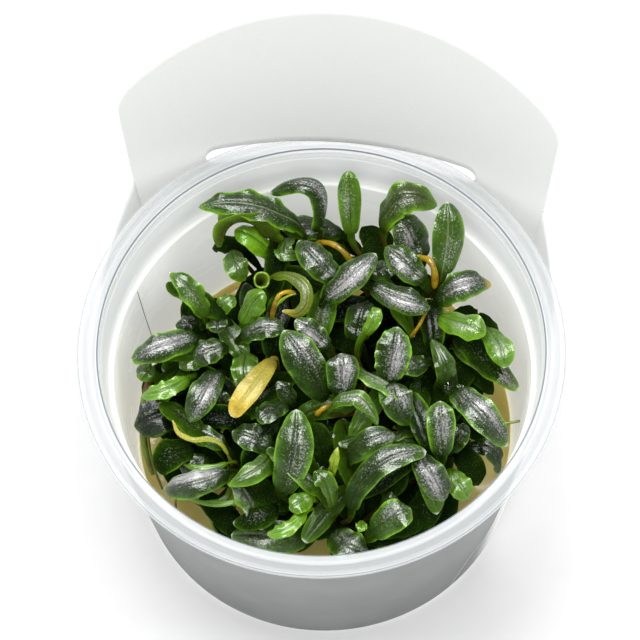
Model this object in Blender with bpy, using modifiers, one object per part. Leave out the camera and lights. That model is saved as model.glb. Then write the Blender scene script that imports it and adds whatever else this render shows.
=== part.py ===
"""A bucephalandra plant in the plastic tub it is grown in, with its card sleeve.

The frame has +Z up and its origin at the middle of the tub's flat base. +Y points to
the back, where the card's header stands up above the rim. Every length is in metres,
and the tables that are easier to read in millimetres are turned by MM.
"""
import math

import bmesh
import bpy
import numpy as np

MM = 0.001
GAP = 0.0003                    # left between pieces that touch

# The tub
FLANGE_RADIUS = 0.0400          # outer edge of the rim flange
LIP_RADIUS = 0.03635            # inner edge of the flange
TUB_HEIGHT = 0.0465
FLANGE_THICKNESS = 0.0011
FLANGE_BEVEL = 0.0004
LEDGE_HEIGHT = 0.0371           # where the collar steps in to the wall
LEDGE_RADIUS = 0.0351
LEDGE_STEP = 0.0005
FLOOR_RADIUS = 0.0319           # inside, at the foot of the wall
WALL = 0.0006
FOOT_ROUND = 0.0012             # of the outer edge of the base
FLOOR_ROUND = 0.0006            # of the edge of the floor inside
TUB_STEPS = 36                  # steps round the tub and the gel

# The gel
GEL_TOP = 0.0122
MENISCUS = 0.0008               # how far the gel climbs at the wall
MENISCUS_WIDTH = 0.0016
GEL_ROUND = 0.0008

# The card sleeve
CARD = 0.0004
CARD_LEAN = math.radians(5.5)   # the card follows the tub's taper and leans out with it
CARD_RADIUS = 0.0376            # of the band's middle surface, at the rim's height
BACK_RADIUS = 0.072             # the back panel is flatter than the tub
BACK_HALF = 0.0363              # half the back panel's width, along the card
HEADER_RISE = 0.0352            # from the rim to the top of the header
HEADER_TOP_RADIUS = 0.053
HEADER_CORNER = 0.0035
SLOT_HALF = 0.0234              # half length of the slot that the flange comes through
SLOT_LOW = 0.0432
SLOT_HIGH = 0.0472
SIDE_START = 0.004              # how far in front of the middle the band's own arc starts
SIDE_BULGE = (0.0382, 0.016)    # the middle of the side's curve is drawn towards this
CURVE_SHARE = 0.62              # of the way from the back panel to the cut is that curve
# The band's heights, and the angle from +X to the front at which its loose end is cut
# there: the cut climbs from the bottom edge round a corner to the flange.
BAND_HEIGHTS = (0.0006, 0.0110, 0.0135, 0.0160, 0.0449)
BAND_CUTS = (44.0, 38.0, 31.0, 24.0, 16.0)
BAND_CUT_WIDTH = 0.0009
FRONT_STEPS = 14

# Leaves and rhizomes
LEAF_THICKNESS = 0.00042
PETIOLE_WIDTH = 0.0010
PETIOLE_RISE = 0.5              # of its reach, how steeply a petiole leaves the rhizome
BLADE_SPAN = (0.15, 0.97)       # the stretch of a sine's half wave that a blade's width follows
BLADE_BLUNT = 0.45              # the power that makes the ends of that half wave blunt
STEM_RADIUS = 0.0014
STEM_TAPER = 0.35               # share of its radius that a rhizome loses on its way up
LEAF_CLEARANCE = 0.0021         # from a rhizome's axis to a petiole's end
FOLD = math.radians(12.0)       # how far each half of a blade rises from the midrib
STEM_RESOLUTION = 2             # gives a rhizome eight sides
STEM_STATIONS = 5
PETIOLE_PARTS = 2               # steps along a petiole
BLADE_PARTS = 4                 # steps along a blade
YOUNG_PARTS = 3                 # the same for a young leaf, whose petiole is one step

# Each rhizome's run from the gel upwards, in millimetres.
STEMS = {
    "back": ((-13, 20, 14.3), (-8, 22.5, 20), (-5, 23, 30)),
    "back_right": ((7, 18, 14.3), (10, 20, 21), (12, 19, 31)),
    "left": ((-13, 12, 14.3), (-17, 9, 20), (-18, 6, 30)),
    "centre": ((-11, -3, 14.3), (-7, -1, 20), (-5, -3, 29)),
    "centre_right": ((8, 5, 14.3), (9.5, 1, 20), (8, -3, 30)),
    "right": ((23, 10, 14.3), (21, 6, 20), (19.5, 4, 29)),
    "front_right": ((16.5, -8, 14.3), (18.5, -10.5, 19), (19, -11.5, 27)),
    "front": ((11, -19, 14.3), (6, -21.5, 19), (2, -21, 28)),
    "front_left": ((-17, -11, 14.3), (-14, -14, 19), (-11.5, -16, 28)),
}

# Each grown leaf: its rhizome, how far up that it grows, the start, middle and tip of
# its blade in millimetres, the blade's width in millimetres and its roll in degrees.
LEAVES = {
    "back_long": ("back", 0.9, (-6.5, 25, 39), (-13.5, 26, 44), (-22.5, 25, 44.5), 5.4, 0),
    "back_arch": ("back", 0.75, (-2.2, 26, 38.5), (-3.6, 30, 44.4), (-10.5, 30, 42), 4.6, 0),
    "under_curl": ("back", 0.4, (-11, 24.5, 37), (-16.5, 24.5, 41.5), (-20, 21.5, 38), 4.8, 50),
    "lime_round": ("back", 0.7, (-10.5, 22, 33.5), (-13.5, 22.5, 38.5), (-17, 23.5, 39.5), 4.4, 0),
    "c_leaf": ("back", 0.4, (-10, 15.5, 38), (-4, 13, 41), (-7, 9, 39), 3.4, 0),
    "olive": ("left", 0.8, (-14, 8, 35), (-13, 10, 38), (-11, 11.5, 40), 4.6, 0),
    "bright_tip": ("left", 0.97, (-20.5, 8, 37), (-22.5, 9.8, 42), (-26.5, 12.5, 43), 4.0, 0),
    "sheen_h": ("left", 0.65, (-14, 5, 36), (-10.5, 6, 38.5), (-7, 6, 38.5), 4.4, 0),
    "left_big": ("left", 0.95, (-21.8, 4.6, 35), (-26.5, 2, 37.5), (-32, -0.5, 36), 5.0, 0),
    "left_mid": ("left", 0.97, (-17.2, 2.6, 36.5), (-19.5, 1.3, 37.5), (-21.6, -0.2, 36), 4.8, 0),
    "bright_v": ("centre", 0.9, (-13, 2.8, 33), (-13, -0.5, 36.5), (-12, -4, 35), 5.0, 0),
    "yellow": ("centre", 0.8, (-8.5, 1, 36.5), (-11, -5.5, 39.5), (-14, -10, 38), 3.9, 0),
    "centre_big": ("centre", 0.97, (0.5, -4, 35), (-2.5, -0.5, 40), (-6.5, 4.5, 41), 6.4, 0),
    "grey_c": ("centre", 0.7, (0.5, 4.5, 36), (-2, 6, 38), (-5, 7.5, 39), 4.2, 0),
    "upright": ("back_right", 0.9, (2.5, 25.5, 37), (2, 29.5, 42), (1.5, 33, 45), 4.1, 0),
    "big_curl": ("back_right", 0.97, (8, 26.5, 38.5), (10.5, 29.3, 44.5), (16.5, 29.5, 43), 5.8, 0),
    "grey_b2": ("back_right", 0.8, (14.5, 22, 37), (13, 24.5, 40), (11, 27, 42), 4.6, 0),
    "back_right": ("back_right", 0.7, (18.5, 19, 38), (19, 23.5, 42.5), (18.5, 28.5, 45), 5.6, 0),
    "right_blue": ("back_right", 0.5, (18.4, 14.8, 36), (22, 16.5, 39.5), (27, 18.5, 37), 5.6, 0),
    "sheen_1": ("back_right", 0.85, (15.5, 16.5, 39.5), (12.5, 18.5, 41.5), (9, 21, 42), 4.9, 0),
    "sheen_2": ("back_right", 0.6, (7, 15.5, 38), (12.5, 13, 39.5), (17, 12.5, 38), 4.8, 0),
    "sheen_3": ("back_right", 0.45, (-0.5, 12.5, 38), (3, 15, 41.5), (7, 19.5, 42), 5.0, 0),
    "dark_b": ("back", 0.5, (0.5, 17, 37), (-2.5, 19, 39), (-6, 22.5, 39), 5.4, 0),
    "dark_c": ("centre_right", 0.5, (5, 7.5, 33), (5.5, 11, 35.5), (6.3, 14.6, 34.5), 5.4, 0),
    "sheen_4": ("centre_right", 0.9, (3.5, -4, 37), (3.5, -1.5, 40), (3, 1.5, 40.5), 5.6, 0),
    "frill": ("centre_right", 0.7, (11, -0.5, 36.5), (11.5, 2, 40.5), (12, 6.5, 41.5), 6.0, 0),
    "purple": ("centre_right", 0.97, (12, -3, 38), (13, -5.5, 38.8), (15.5, -8, 35.5), 6.2, 0),
    "s_curve": ("centre_right", 0.97, (2.5, -7.5, 39), (6.5, -6.5, 41), (10, -9.5, 38.5), 2.9, 0),
    "dark_v": ("right", 0.95, (20, 0, 35), (20.5, 1, 39), (18, 5.5, 39.5), 3.7, 0),
    "right_g1": ("right", 0.8, (19, 11.4, 36), (23, 9, 40), (26.5, 7.2, 40.3), 4.8, 0),
    "right_g2": ("right", 0.3, (26.9, 9.5, 36.5), (29.2, 5.5, 39.3), (30.1, 2.2, 38.5), 4.6, 0),
    "right_long": ("right", 0.7, (21.9, 7.9, 33), (26.9, 4.8, 35), (32.6, 1, 33.5), 4.4, 0),
    "right_big": ("right", 0.6, (22.5, -1.5, 35.5), (26.5, -6, 38.5), (31.5, -10, 35), 6.0, 0),
    "oval": ("front_right", 0.95, (21, -13, 35), (20.5, -10, 40), (20, -6, 41), 4.8, 0),
    "grey_r": ("front_right", 0.8, (17.2, -14.8, 37.5), (20, -18, 37.5), (22, -20.5, 34), 5.0, 0),
    "lime_r": ("front_right", 0.45, (23, -15, 32), (24.5, -17.5, 33.5), (26, -19, 32), 4.2, 0),
    "deep_f": ("front_right", 0.4, (19.8, -16.5, 29.5), (19.1, -20.8, 31), (16, -25.6, 29), 6.0, 0),
    "pale_arch": ("front", 0.8, (6, -14.6, 35), (9.3, -13, 39.5), (13.2, -11.2, 38), 6.2, 0),
    "long_arch": ("front", 0.85, (7, -23.3, 34), (10.5, -18, 40), (18, -14.5, 40), 6.6, 0),
    "oval_f": ("front", 0.5, (11, -26.5, 33), (14, -25, 37), (16.5, -23.5, 36.5), 5.6, 0),
    "front_r": ("front", 0.5, (4.5, -25.8, 28), (7, -28.5, 31), (10.5, -29.2, 29.5), 5.8, 0),
    "edge_v": ("front", 0.97, (3.6, -22.8, 33), (2.6, -20.5, 36.5), (0.5, -18.5, 37), 3.8, 0),
    "tall": ("front", 0.97, (-4.5, -21.5, 35), (-3, -17.5, 41.5), (-3, -11.5, 42), 6.3, 0),
    "front_low": ("front", 0.8, (-0.5, -26.5, 28), (-6.5, -28, 31), (-12.5, -27.5, 29), 6.2, 0),
    "white_stripe": ("front_left", 0.8, (-14, -19, 34.5), (-19, -22, 36.5), (-24.1, -22, 33.2), 4.8, 0),
    "dark_h": ("front_left", 0.95, (-7.7, -12.9, 33), (-10.3, -12.4, 35), (-13.8, -11.4, 34.5), 5.0, 0),
    "glassy": ("left", 0.3, (-23.5, -5.5, 30), (-27, -8.5, 32), (-31, -10, 30), 6.0, 0),
    "grey_l": ("centre", 0.55, (-17.5, -1.5, 35), (-19, -6.5, 38.5), (-21, -11, 36.5), 5.0, 0),
}

# The young and the shaded leaves that stay joined to their rhizome, in the same form.
YOUNG = {
    "back_low": ("back_right", 0.35, (0.5, 28.5, 31), (-4.5, 28.5, 33), (-9.5, 28, 32.5), 4.6, 0),
    "hook": ("back", 0.6, (-8, 24, 36), (-8.5, 20.5, 38.5), (-5.5, 21, 37), 3.4, 0),
    "wavy": ("back", 0.35, (-17.5, 21.5, 34), (-16.5, 18.5, 36), (-14.8, 16.5, 34.5), 4.2, 0),
    "ring": ("left", 0.75, (-12, 14, 34.5), (-13.5, 15.5, 37.5), (-11.5, 14.5, 38.5), 3.4, 0),
    "stripe": ("left", 0.6, (-19, 9.5, 35), (-17.5, 10.5, 37), (-16, 12, 37), 3.4, 0),
    "left_dark": ("left", 0.4, (-21, 9.5, 31), (-23.5, 9, 32), (-26, 8.5, 31.5), 3.6, 0),
    "mid": ("left", 0.9, (-18.3, 7.8, 35.5), (-18.2, 6.2, 38.5), (-17.8, 4.3, 39), 3.6, 0),
    "pale": ("left", 0.95, (-19.9, 2.2, 32.5), (-22.2, 1.2, 34), (-24.2, -0.2, 33.3), 4.4, 0),
    "bright": ("left", 0.5, (-22.5, -2.5, 34), (-25.5, -6, 37), (-29.5, -6.5, 35), 3.4, 0),
    "round": ("left", 0.35, (-28.5, -1.5, 32), (-30, -1, 33), (-31.5, 0, 32), 3.6, 0),
    "grey_back": ("back_right", 0.6, (6.5, 20, 34), (8.5, 20.3, 35.5), (11, 20.8, 36), 4.2, 0),
    "small_right": ("right", 0.8, (17, 3, 36), (15, 1.5, 37.5), (12.5, 1.5, 37.5), 3.2, 0),
    "twist": ("centre_right", 0.6, (6.5, 6.5, 38), (8, 8.5, 40), (7.5, 10.5, 40), 2.6, 0),
    "deep_front": ("front_right", 0.5, (24, -9.5, 28), (26, -12, 29), (27.5, -14.5, 27), 4.8, 0),
    "black": ("front_right", 0.3, (25, -6, 22), (29, -6.5, 24), (31, -9, 20), 3.4, 0),
    "fold": ("front", 0.9, (0, -23, 36.5), (-1.5, -24.5, 38), (-3, -25.5, 37.5), 3.8, 0),
    "bright_front": ("front", 0.8, (-0.5, -25.5, 36), (-3, -29, 37.5), (-6, -29.5, 36), 2.8, 0),
    "low_front": ("front_left", 0.7, (-5.9, -23.7, 32.3), (-7.9, -26.1, 34.3), (-12.1, -26.5, 32), 4.4, 0),
    "thin": ("front_left", 0.6, (-8.5, -20, 30), (-14, -23, 31), (-20, -22, 29), 1.8, 0),
    "pointed": ("front_left", 0.9, (-7, -15.6, 35), (-8.8, -19, 37.5), (-13, -21.9, 37), 3.9, 0),
    "dark_top": ("centre", 0.9, (-5.8, -5.6, 34), (-7.8, -8.4, 37), (-9.7, -10.4, 37.5), 4.2, 0),
    "gold": ("front_left", 0.85, (-14.5, -15.5, 35), (-19, -14.5, 38), (-24, -11.5, 38), 2.2, 0),
    "dark_left": ("front_left", 0.75, (-15, -14, 33.5), (-18.5, -12.5, 34.5), (-22.5, -11.5, 33.5), 3.6, 0),
    "low_left": ("front_left", 0.4, (-20.8, -14.5, 32), (-23.7, -16.5, 34.5), (-25.8, -19, 32), 5.8, 0),
    "speckled": ("front_left", 0.5, (-18, -15.5, 31.5), (-20, -17.5, 33), (-21.5, -19, 31), 3.6, 0),
    "low_centre": ("centre_right", 0.6, (4, -6.5, 27), (1, -9, 29), (-2.5, -10.5, 28), 5.0, 0),
    "low_inner": ("centre", 0.95, (-5.5, -6.5, 30.5), (-2, -7, 32), (1.5, -6.8, 31), 4.4, 0),
    "low_shade": ("back_right", 0.4, (12, 13.5, 28), (14, 11, 31), (16.5, 8.5, 30), 5.5, 0),
    "low_corner": ("back_right", 0.15, (17, 14.3, 26), (20.3, 13.2, 28.5), (23.5, 12, 28), 4.4, 0),
    "low_back": ("back_right", 0.5, (8, 24, 30), (6.5, 27.5, 32), (4, 30.5, 31), 5.0, 0),
    "low_grey": ("centre", 0.4, (-14, -4.5, 30), (-17, -7, 32), (-19, -10, 31), 5.0, 0),
    "low_arch": ("front_right", 0.5, (13.6, -12, 30), (13.3, -16, 32), (12, -19.5, 31), 5.0, 0),
    "low_middle": ("centre", 0.6, (-3.5, 9.5, 30), (-3, 12, 33), (-2, 15, 33), 4.5, 0),
    "low_right": ("right", 0.8, (17, 1.8, 30), (14.8, 0.5, 32), (12.5, -0.5, 31), 4.5, 0),
    "low_wall": ("back", 0.3, (-15.5, 23.5, 31), (-18.5, 24.5, 32), (-21.5, 24, 31), 4.0, 0),
    "low_left_in": ("left", 0.5, (-13, 6, 30), (-10.5, 7.5, 32.5), (-7, 8.5, 32.5), 5.0, 0),
    "low_oval": ("front_right", 0.9, (16.8, -8.8, 30), (15.5, -6.5, 32), (13.5, -4, 31.5), 4.5, 0),
    "low_side": ("front", 0.8, (1.4, -15.5, 31), (0.8, -12.6, 35), (-1.2, -9.3, 35.5), 4.4, 0),
    "spear": ("front", 0.95, (3.2, -17.9, 34), (3.5, -16.9, 37.5), (4, -14.9, 39), 1.6, 0),
    "hooked": ("centre", 0.95, (-4.5, -5, 33.5), (-5.5, -4.5, 36), (-7, -3, 37), 3.2, 0),
    "speck": ("centre_right", 0.8, (5.8, -10, 29.5), (4.2, -10, 32), (2.3, -8.8, 32), 4.2, 0),
    "behind_oval": ("front_right", 0.8, (22, -9.6, 30), (23.2, -8.5, 33), (24, -6, 33), 4.2, 0),
    "pale_fold": ("front_right", 0.97, (15.7, -9.8, 31.5), (14.2, -10.2, 33.5), (12.2, -9.2, 33.5), 3.4, 0),
    "small": ("front", 0.6, (11.9, -21.6, 33), (12.9, -21.2, 34.5), (14.3, -20.7, 34), 3.0, 0),
    "drop": ("front", 0.4, (8.8, -25.3, 33.5), (8.9, -26.8, 36), (9.2, -28, 37), 2.0, 0),
    "folded": ("centre", 0.5, (-15.9, -8.2, 31), (-16.1, -6.7, 34), (-16.7, -4.7, 35), 3.2, 0),
}


def clear_scene():
    for thing in list(bpy.data.objects):
        bpy.data.objects.remove(thing, do_unlink=True)


def material(name, colour, roughness, metallic=0.0):
    made = bpy.data.materials.new(name)
    made.use_nodes = True
    shader = made.node_tree.nodes["Principled BSDF"]
    shader.inputs["Base Color"].default_value = (*colour, 1.0)
    shader.inputs["Roughness"].default_value = roughness
    shader.inputs["Metallic"].default_value = metallic
    made.diffuse_color = (*colour, 1.0)
    return made


def add_object(name, mesh, collection, finish=None):
    thing = bpy.data.objects.new(name, mesh)
    collection.objects.link(thing)
    if finish:
        mesh.materials.append(finish)
    return thing


def mesh_from_bmesh(name, bm):
    mesh = bpy.data.meshes.new(name)
    bm.to_mesh(mesh)
    bm.free()
    return mesh


def sheet_mesh(name, points):
    """Turn an array of points, rows by columns, into an open mesh of quads."""
    rows, columns = points.shape[:2]
    bm = bmesh.new()
    corners = [[bm.verts.new(point) for point in row] for row in points]
    for i in range(rows - 1):
        for j in range(columns - 1):
            bm.faces.new((corners[i][j], corners[i + 1][j],
                          corners[i + 1][j + 1], corners[i][j + 1]))
    return mesh_from_bmesh(name, bm)


def solidify(thing, thickness, offset=0.0):
    shell = thing.modifiers.new("Thickness", "SOLIDIFY")
    shell.thickness = thickness
    shell.offset = offset
    return shell


def turned(name, profile, collection, finish):
    """Turn a profile of (radius, height) pairs, outside first, round the Z axis."""
    bm = bmesh.new()
    corners = [bm.verts.new((radius, 0.0, height)) for radius, height in profile]
    for first, second in zip(corners, corners[1:]):
        bm.edges.new((first, second))
    thing = add_object(name, mesh_from_bmesh(name, bm), collection, finish)
    screw = thing.modifiers.new("Turn", "SCREW")
    screw.angle = math.tau
    screw.steps = screw.render_steps = TUB_STEPS
    screw.use_merge_vertices = True
    screw.merge_threshold = 0.00001
    return thing


def inner_radius(height):
    """The tub's inside radius at a height under the ledge."""
    share = (height - WALL) / (LEDGE_HEIGHT - WALL)
    return FLOOR_RADIUS + share * (LEDGE_RADIUS - LEDGE_STEP - FLOOR_RADIUS)


def make_tub(collection, finish):
    """The flange, collar, ledge, tapering wall and flat base in one profile."""
    under_flange = TUB_HEIGHT - FLANGE_THICKNESS
    profile = [
        (LIP_RADIUS, TUB_HEIGHT),
        (FLANGE_RADIUS - FLANGE_BEVEL, TUB_HEIGHT),
        (FLANGE_RADIUS, TUB_HEIGHT - FLANGE_BEVEL),
        (FLANGE_RADIUS, under_flange),
        (LIP_RADIUS + WALL, under_flange),
        (LEDGE_RADIUS + WALL, LEDGE_HEIGHT),
        (FLOOR_RADIUS + WALL, FOOT_ROUND),
        (FLOOR_RADIUS + WALL - FOOT_ROUND, 0.0),
        (0.0, 0.0),
    ]
    inside = [
        (0.0, WALL),
        (FLOOR_RADIUS - FLOOR_ROUND, WALL),
        (FLOOR_RADIUS, WALL + FLOOR_ROUND),
        (LEDGE_RADIUS - LEDGE_STEP, LEDGE_HEIGHT - LEDGE_STEP / 2),
        (LEDGE_RADIUS, LEDGE_HEIGHT),
        (LIP_RADIUS, TUB_HEIGHT),
    ]
    return turned("cup", profile + inside, collection, finish)


def make_gel(collection, finish):
    """The gel fills the foot of the tub and climbs a little at the wall."""
    foot = WALL + GAP
    profile = [
        (0.0, GEL_TOP),
        (inner_radius(GEL_TOP) - GAP - MENISCUS_WIDTH, GEL_TOP),
        (inner_radius(GEL_TOP + MENISCUS) - GAP, GEL_TOP + MENISCUS),
        (FLOOR_RADIUS - GAP, foot + GEL_ROUND),
        (FLOOR_RADIUS - GAP - GEL_ROUND, foot),
        (0.0, foot),
    ]
    return turned("gel", profile, collection, finish)


def back_point(along):
    """A point of the card's back panel in plan at the rim's height, and its normal."""
    angle = along / BACK_RADIUS
    point = np.array([BACK_RADIUS * math.sin(angle),
                      CARD_RADIUS - BACK_RADIUS * (1 - math.cos(angle))])
    return point, np.array([math.sin(angle), math.cos(angle)])


def side_point(share, cut):
    """The same for the right side and front, from the back panel's end to the cut.

    The side is a quadratic curve to the point where the band's own circle takes over,
    and share runs from 0 at the panel's end to 1 at the cut, an angle in front of +X.
    """
    corner = back_point(BACK_HALF)[0]
    join = math.asin(SIDE_START / CARD_RADIUS)
    if share < CURVE_SHARE:
        t = share / CURVE_SHARE
        bulge = np.array(SIDE_BULGE)
        end = CARD_RADIUS * np.array([math.cos(join), -math.sin(join)])
        point = (1 - t) ** 2 * corner + 2 * t * (1 - t) * bulge + t * t * end
        slope = (1 - t) * (bulge - corner) + t * (end - bulge)
        normal = np.array([-slope[1], slope[0]]) / np.linalg.norm(slope)
        return point, normal
    angle = join + (share - CURVE_SHARE) / (1 - CURVE_SHARE) * (cut - join)
    normal = np.array([math.cos(angle), -math.sin(angle)])
    return CARD_RADIUS * normal, normal


def lean_out(point, normal, height):
    """Move a plan point at the rim's height to its place on the leaning card."""
    x, y = point + normal * (height - TUB_HEIGHT) * math.tan(CARD_LEAN)
    return (x, y, height)


def mirrored(pair):
    point, normal = pair
    flip = np.array([-1.0, 1.0])
    return point * flip, normal * flip


def header_top(along):
    """The header's top edge: a wide arc with a round corner at each end."""
    drop = HEADER_TOP_RADIUS - math.sqrt(HEADER_TOP_RADIUS ** 2 - along ** 2)
    into_corner = abs(along) - (BACK_HALF - HEADER_CORNER)
    if into_corner > 0:
        drop += HEADER_CORNER - math.sqrt(max(HEADER_CORNER ** 2 - into_corner ** 2, 0))
    return TUB_HEIGHT + HEADER_RISE - drop


def make_card_sheet():
    """The card's middle surface: the band all round, and the header on its back."""
    back = [share * BACK_HALF for share in (1.0, 0.975, 0.91, 0.7, 0.36, 0.0)]
    back = back + [-along for along in reversed(back[:-1])]
    right_shares = (1.0, 0.82, CURVE_SHARE, 0.4, 0.2)
    left_shares = [CURVE_SHARE * third / 3 for third in (1, 2, 3)]
    half_cut = 0.5 * BAND_CUT_WIDTH / CARD_RADIUS
    join = math.asin(SIDE_START / CARD_RADIUS)
    bm = bmesh.new()
    rows = []
    for height, cut_degrees in zip(BAND_HEIGHTS, BAND_CUTS):
        cut = math.radians(cut_degrees)
        pairs = [side_point(share, cut - half_cut) for share in right_shares]
        pairs += [back_point(along) for along in back]
        pairs += [mirrored(side_point(share, join)) for share in left_shares]
        full = math.pi - cut - half_cut
        for step in range(1, FRONT_STEPS + 1):
            angle = join + step / FRONT_STEPS * (full - join)
            normal = np.array([-math.cos(angle), -math.sin(angle)])
            pairs.append((CARD_RADIUS * normal, normal))
        rows.append([bm.verts.new(lean_out(*pair, height)) for pair in pairs])
    first = len(right_shares)
    top_rows = [rows[-1][first:first + len(back)]]
    for share in (0.4, 0.8, 1.0):
        row = []
        for along in back:
            height = BAND_HEIGHTS[-1] + share * (header_top(along) - BAND_HEIGHTS[-1])
            row.append(bm.verts.new(lean_out(*back_point(along), height)))
        top_rows.append(row)
    for block in (rows, top_rows):
        for low, high in zip(block, block[1:]):
            for j in range(len(low) - 1):
                bm.faces.new((low[j], low[j + 1], high[j + 1], high[j]))
    return mesh_from_bmesh("sleeve", bm)


def make_slot_cutter(collection):
    """An upright prism with round ends, through the back panel only."""
    radius = (SLOT_HIGH - SLOT_LOW) / 2
    middle = (SLOT_HIGH + SLOT_LOW) / 2
    half = BACK_RADIUS * math.sin(SLOT_HALF / BACK_RADIUS) - radius
    outline = []
    for side in (1, -1):
        for step in range(7):
            angle = side * (math.pi / 2 - math.pi * step / 6)
            outline.append((side * (half + radius * math.cos(angle)),
                            middle + radius * math.sin(angle)))
    bm = bmesh.new()
    near = CARD_RADIUS / 2
    face = bm.faces.new([bm.verts.new((x, near, z)) for x, z in outline])
    grown = bmesh.ops.extrude_face_region(bm, geom=[face])["geom"]
    moved = [item for item in grown if isinstance(item, bmesh.types.BMVert)]
    bmesh.ops.translate(bm, vec=(0.0, CARD_RADIUS, 0.0), verts=moved)
    bmesh.ops.recalc_face_normals(bm, faces=bm.faces)
    cutter = add_object("slot_cutter", mesh_from_bmesh("slot_cutter", bm), collection)
    cutter.hide_render = True
    cutter.display_type = "WIRE"
    return cutter


def make_sleeve(collection, cutters, finish):
    sleeve = add_object("sleeve", make_card_sheet(), collection, finish)
    solidify(sleeve, CARD)
    cutter = make_slot_cutter(cutters)
    cut = sleeve.modifiers.new("Slot", "BOOLEAN")
    cut.operation = "DIFFERENCE"
    cut.object = cutter
    return sleeve


def through(start, middle, end, t):
    """A quadratic curve that passes through its middle point at half way."""
    control = 2 * middle - (start + end) / 2
    t = np.asarray(t)[:, None]
    return (1 - t) ** 2 * start + 2 * t * (1 - t) * control + t ** 2 * end


def stem_axis(name, shares):
    points = np.array(STEMS[name]) * MM
    return through(points[0], points[1], points[2], shares)


def leaf_base(stem, along, start, clear):
    """Where a petiole leaves its rhizome: beside the axis, on the leaf's side."""
    axis = stem_axis(stem, [along])[0]
    aside = np.array([start[0] - axis[0], start[1] - axis[1], 0.0])
    return axis + aside / np.linalg.norm(aside) * clear


def leaf_surface(row, clear, petiole_parts, blade_parts):
    """A leaf as rows of three points: a narrow petiole, then a folded oval blade.

    The blade's midrib is a quadratic curve through its start, middle and tip. The
    petiole is a Hermite curve that leaves the rhizome outwards and upwards and runs
    into the midrib. The width swells as a power of a sine. A leaf faces up, turned
    about its midrib by its roll, and its two halves rise from the midrib by FOLD.
    """
    stem, along, start, middle, tip, width, roll = row
    start, middle, tip = (np.array(point) * MM for point in (start, middle, tip))
    base = leaf_base(stem, along, start, clear)
    reach = np.linalg.norm(start - base)
    outward = start - base
    outward[2] = PETIOLE_RISE * reach
    outward = outward / np.linalg.norm(outward) * reach
    control = 2 * middle - (start + tip) / 2
    onward = (control - start) / np.linalg.norm(control - start) * reach
    t = np.linspace(0, 1, petiole_parts + 1)[:-1, None]
    petiole = ((2 * t ** 3 - 3 * t ** 2 + 1) * base + (t ** 3 - 2 * t ** 2 + t) * outward
               + (3 * t ** 2 - 2 * t ** 3) * start + (t ** 3 - t ** 2) * onward)
    shares = np.linspace(0, 1, blade_parts + 1)
    rib = np.concatenate([petiole, through(start, middle, tip, shares)])
    tangents = np.gradient(rib, axis=0)
    tangents /= np.linalg.norm(tangents, axis=1, keepdims=True)
    wave = BLADE_SPAN[0] + (BLADE_SPAN[1] - BLADE_SPAN[0]) * shares
    swell = np.sin(math.pi * wave) ** BLADE_BLUNT
    narrow = PETIOLE_WIDTH + t[:, 0] ** 2 * (width * MM * swell[0] - PETIOLE_WIDTH)
    widths = np.concatenate([narrow, width * MM * swell])
    faces = carried_normals(rib, tangents, petiole_parts + blade_parts // 2, roll)
    sides = np.cross(faces, tangents)
    across = np.array([-0.5, 0.0, 0.5])[None, :, None]
    lateral = across * widths[:, None, None] * math.cos(FOLD) * sides[:, None, :]
    lift = np.abs(across) * widths[:, None, None] * math.sin(FOLD) * faces[:, None, :]
    return rib[:, None, :] + lateral + lift


def carried_normals(rib, tangents, middle, roll):
    """Carry the upward normal of the middle station to both ends without twisting it."""
    up = np.array([0.0, 0.0, 1.0])
    normals = np.zeros_like(rib)
    normal = up - up.dot(tangents[middle]) * tangents[middle]
    normal /= np.linalg.norm(normal)
    turn = math.radians(roll)
    normal = normal * math.cos(turn) + np.cross(tangents[middle], normal) * math.sin(turn)
    for stations in (range(middle, len(rib)), range(middle, -1, -1)):
        carried = normal
        for i in stations:
            carried = carried - carried.dot(tangents[i]) * tangents[i]
            carried /= np.linalg.norm(carried)
            normals[i] = carried
    return normals


def make_leaf(name, row, clear, petiole_parts, blade_parts, collection, finish):
    mesh = sheet_mesh(name, leaf_surface(row, clear, petiole_parts, blade_parts))
    leaf = add_object(name, mesh, collection, finish)
    solidify(leaf, LEAF_THICKNESS)
    return leaf


def make_stem(name, collection, cutters, finish):
    """A tapering rhizome, with its young leaves joined on."""
    curve = bpy.data.curves.new(name, "CURVE")
    curve.dimensions = "3D"
    curve.bevel_depth = STEM_RADIUS
    curve.bevel_resolution = STEM_RESOLUTION
    curve.use_fill_caps = True
    shares = np.linspace(0, 1, STEM_STATIONS)
    spline = curve.splines.new("POLY")
    spline.points.add(len(shares) - 1)
    for point, place, share in zip(spline.points, stem_axis(name, shares), shares):
        point.co = (*place, 1.0)
        point.radius = 1.0 - STEM_TAPER * share
    guide = bpy.data.objects.new(name + "_curve", curve)
    collection.objects.link(guide)
    bpy.context.view_layer.update()
    evaluated = guide.evaluated_get(bpy.context.evaluated_depsgraph_get())
    mesh = bpy.data.meshes.new_from_object(evaluated)
    bm = bmesh.new()
    bm.from_mesh(mesh)
    bmesh.ops.remove_doubles(bm, verts=bm.verts, dist=0.00001)
    bm.to_mesh(mesh)
    bm.free()
    stem = add_object("rhizome_" + name, mesh, collection, finish)
    stem.matrix_world = guide.matrix_world
    bpy.data.objects.remove(guide, do_unlink=True)
    for young_name, row in YOUNG.items():
        if row[0] != name:
            continue
        young = make_leaf("young_" + young_name, row, GAP, 1, YOUNG_PARTS, cutters, None)
        young.hide_render = True
        young.display_type = "WIRE"
        join = stem.modifiers.new(young_name, "BOOLEAN")
        join.operation = "UNION"
        join.object = young
    return stem


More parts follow.
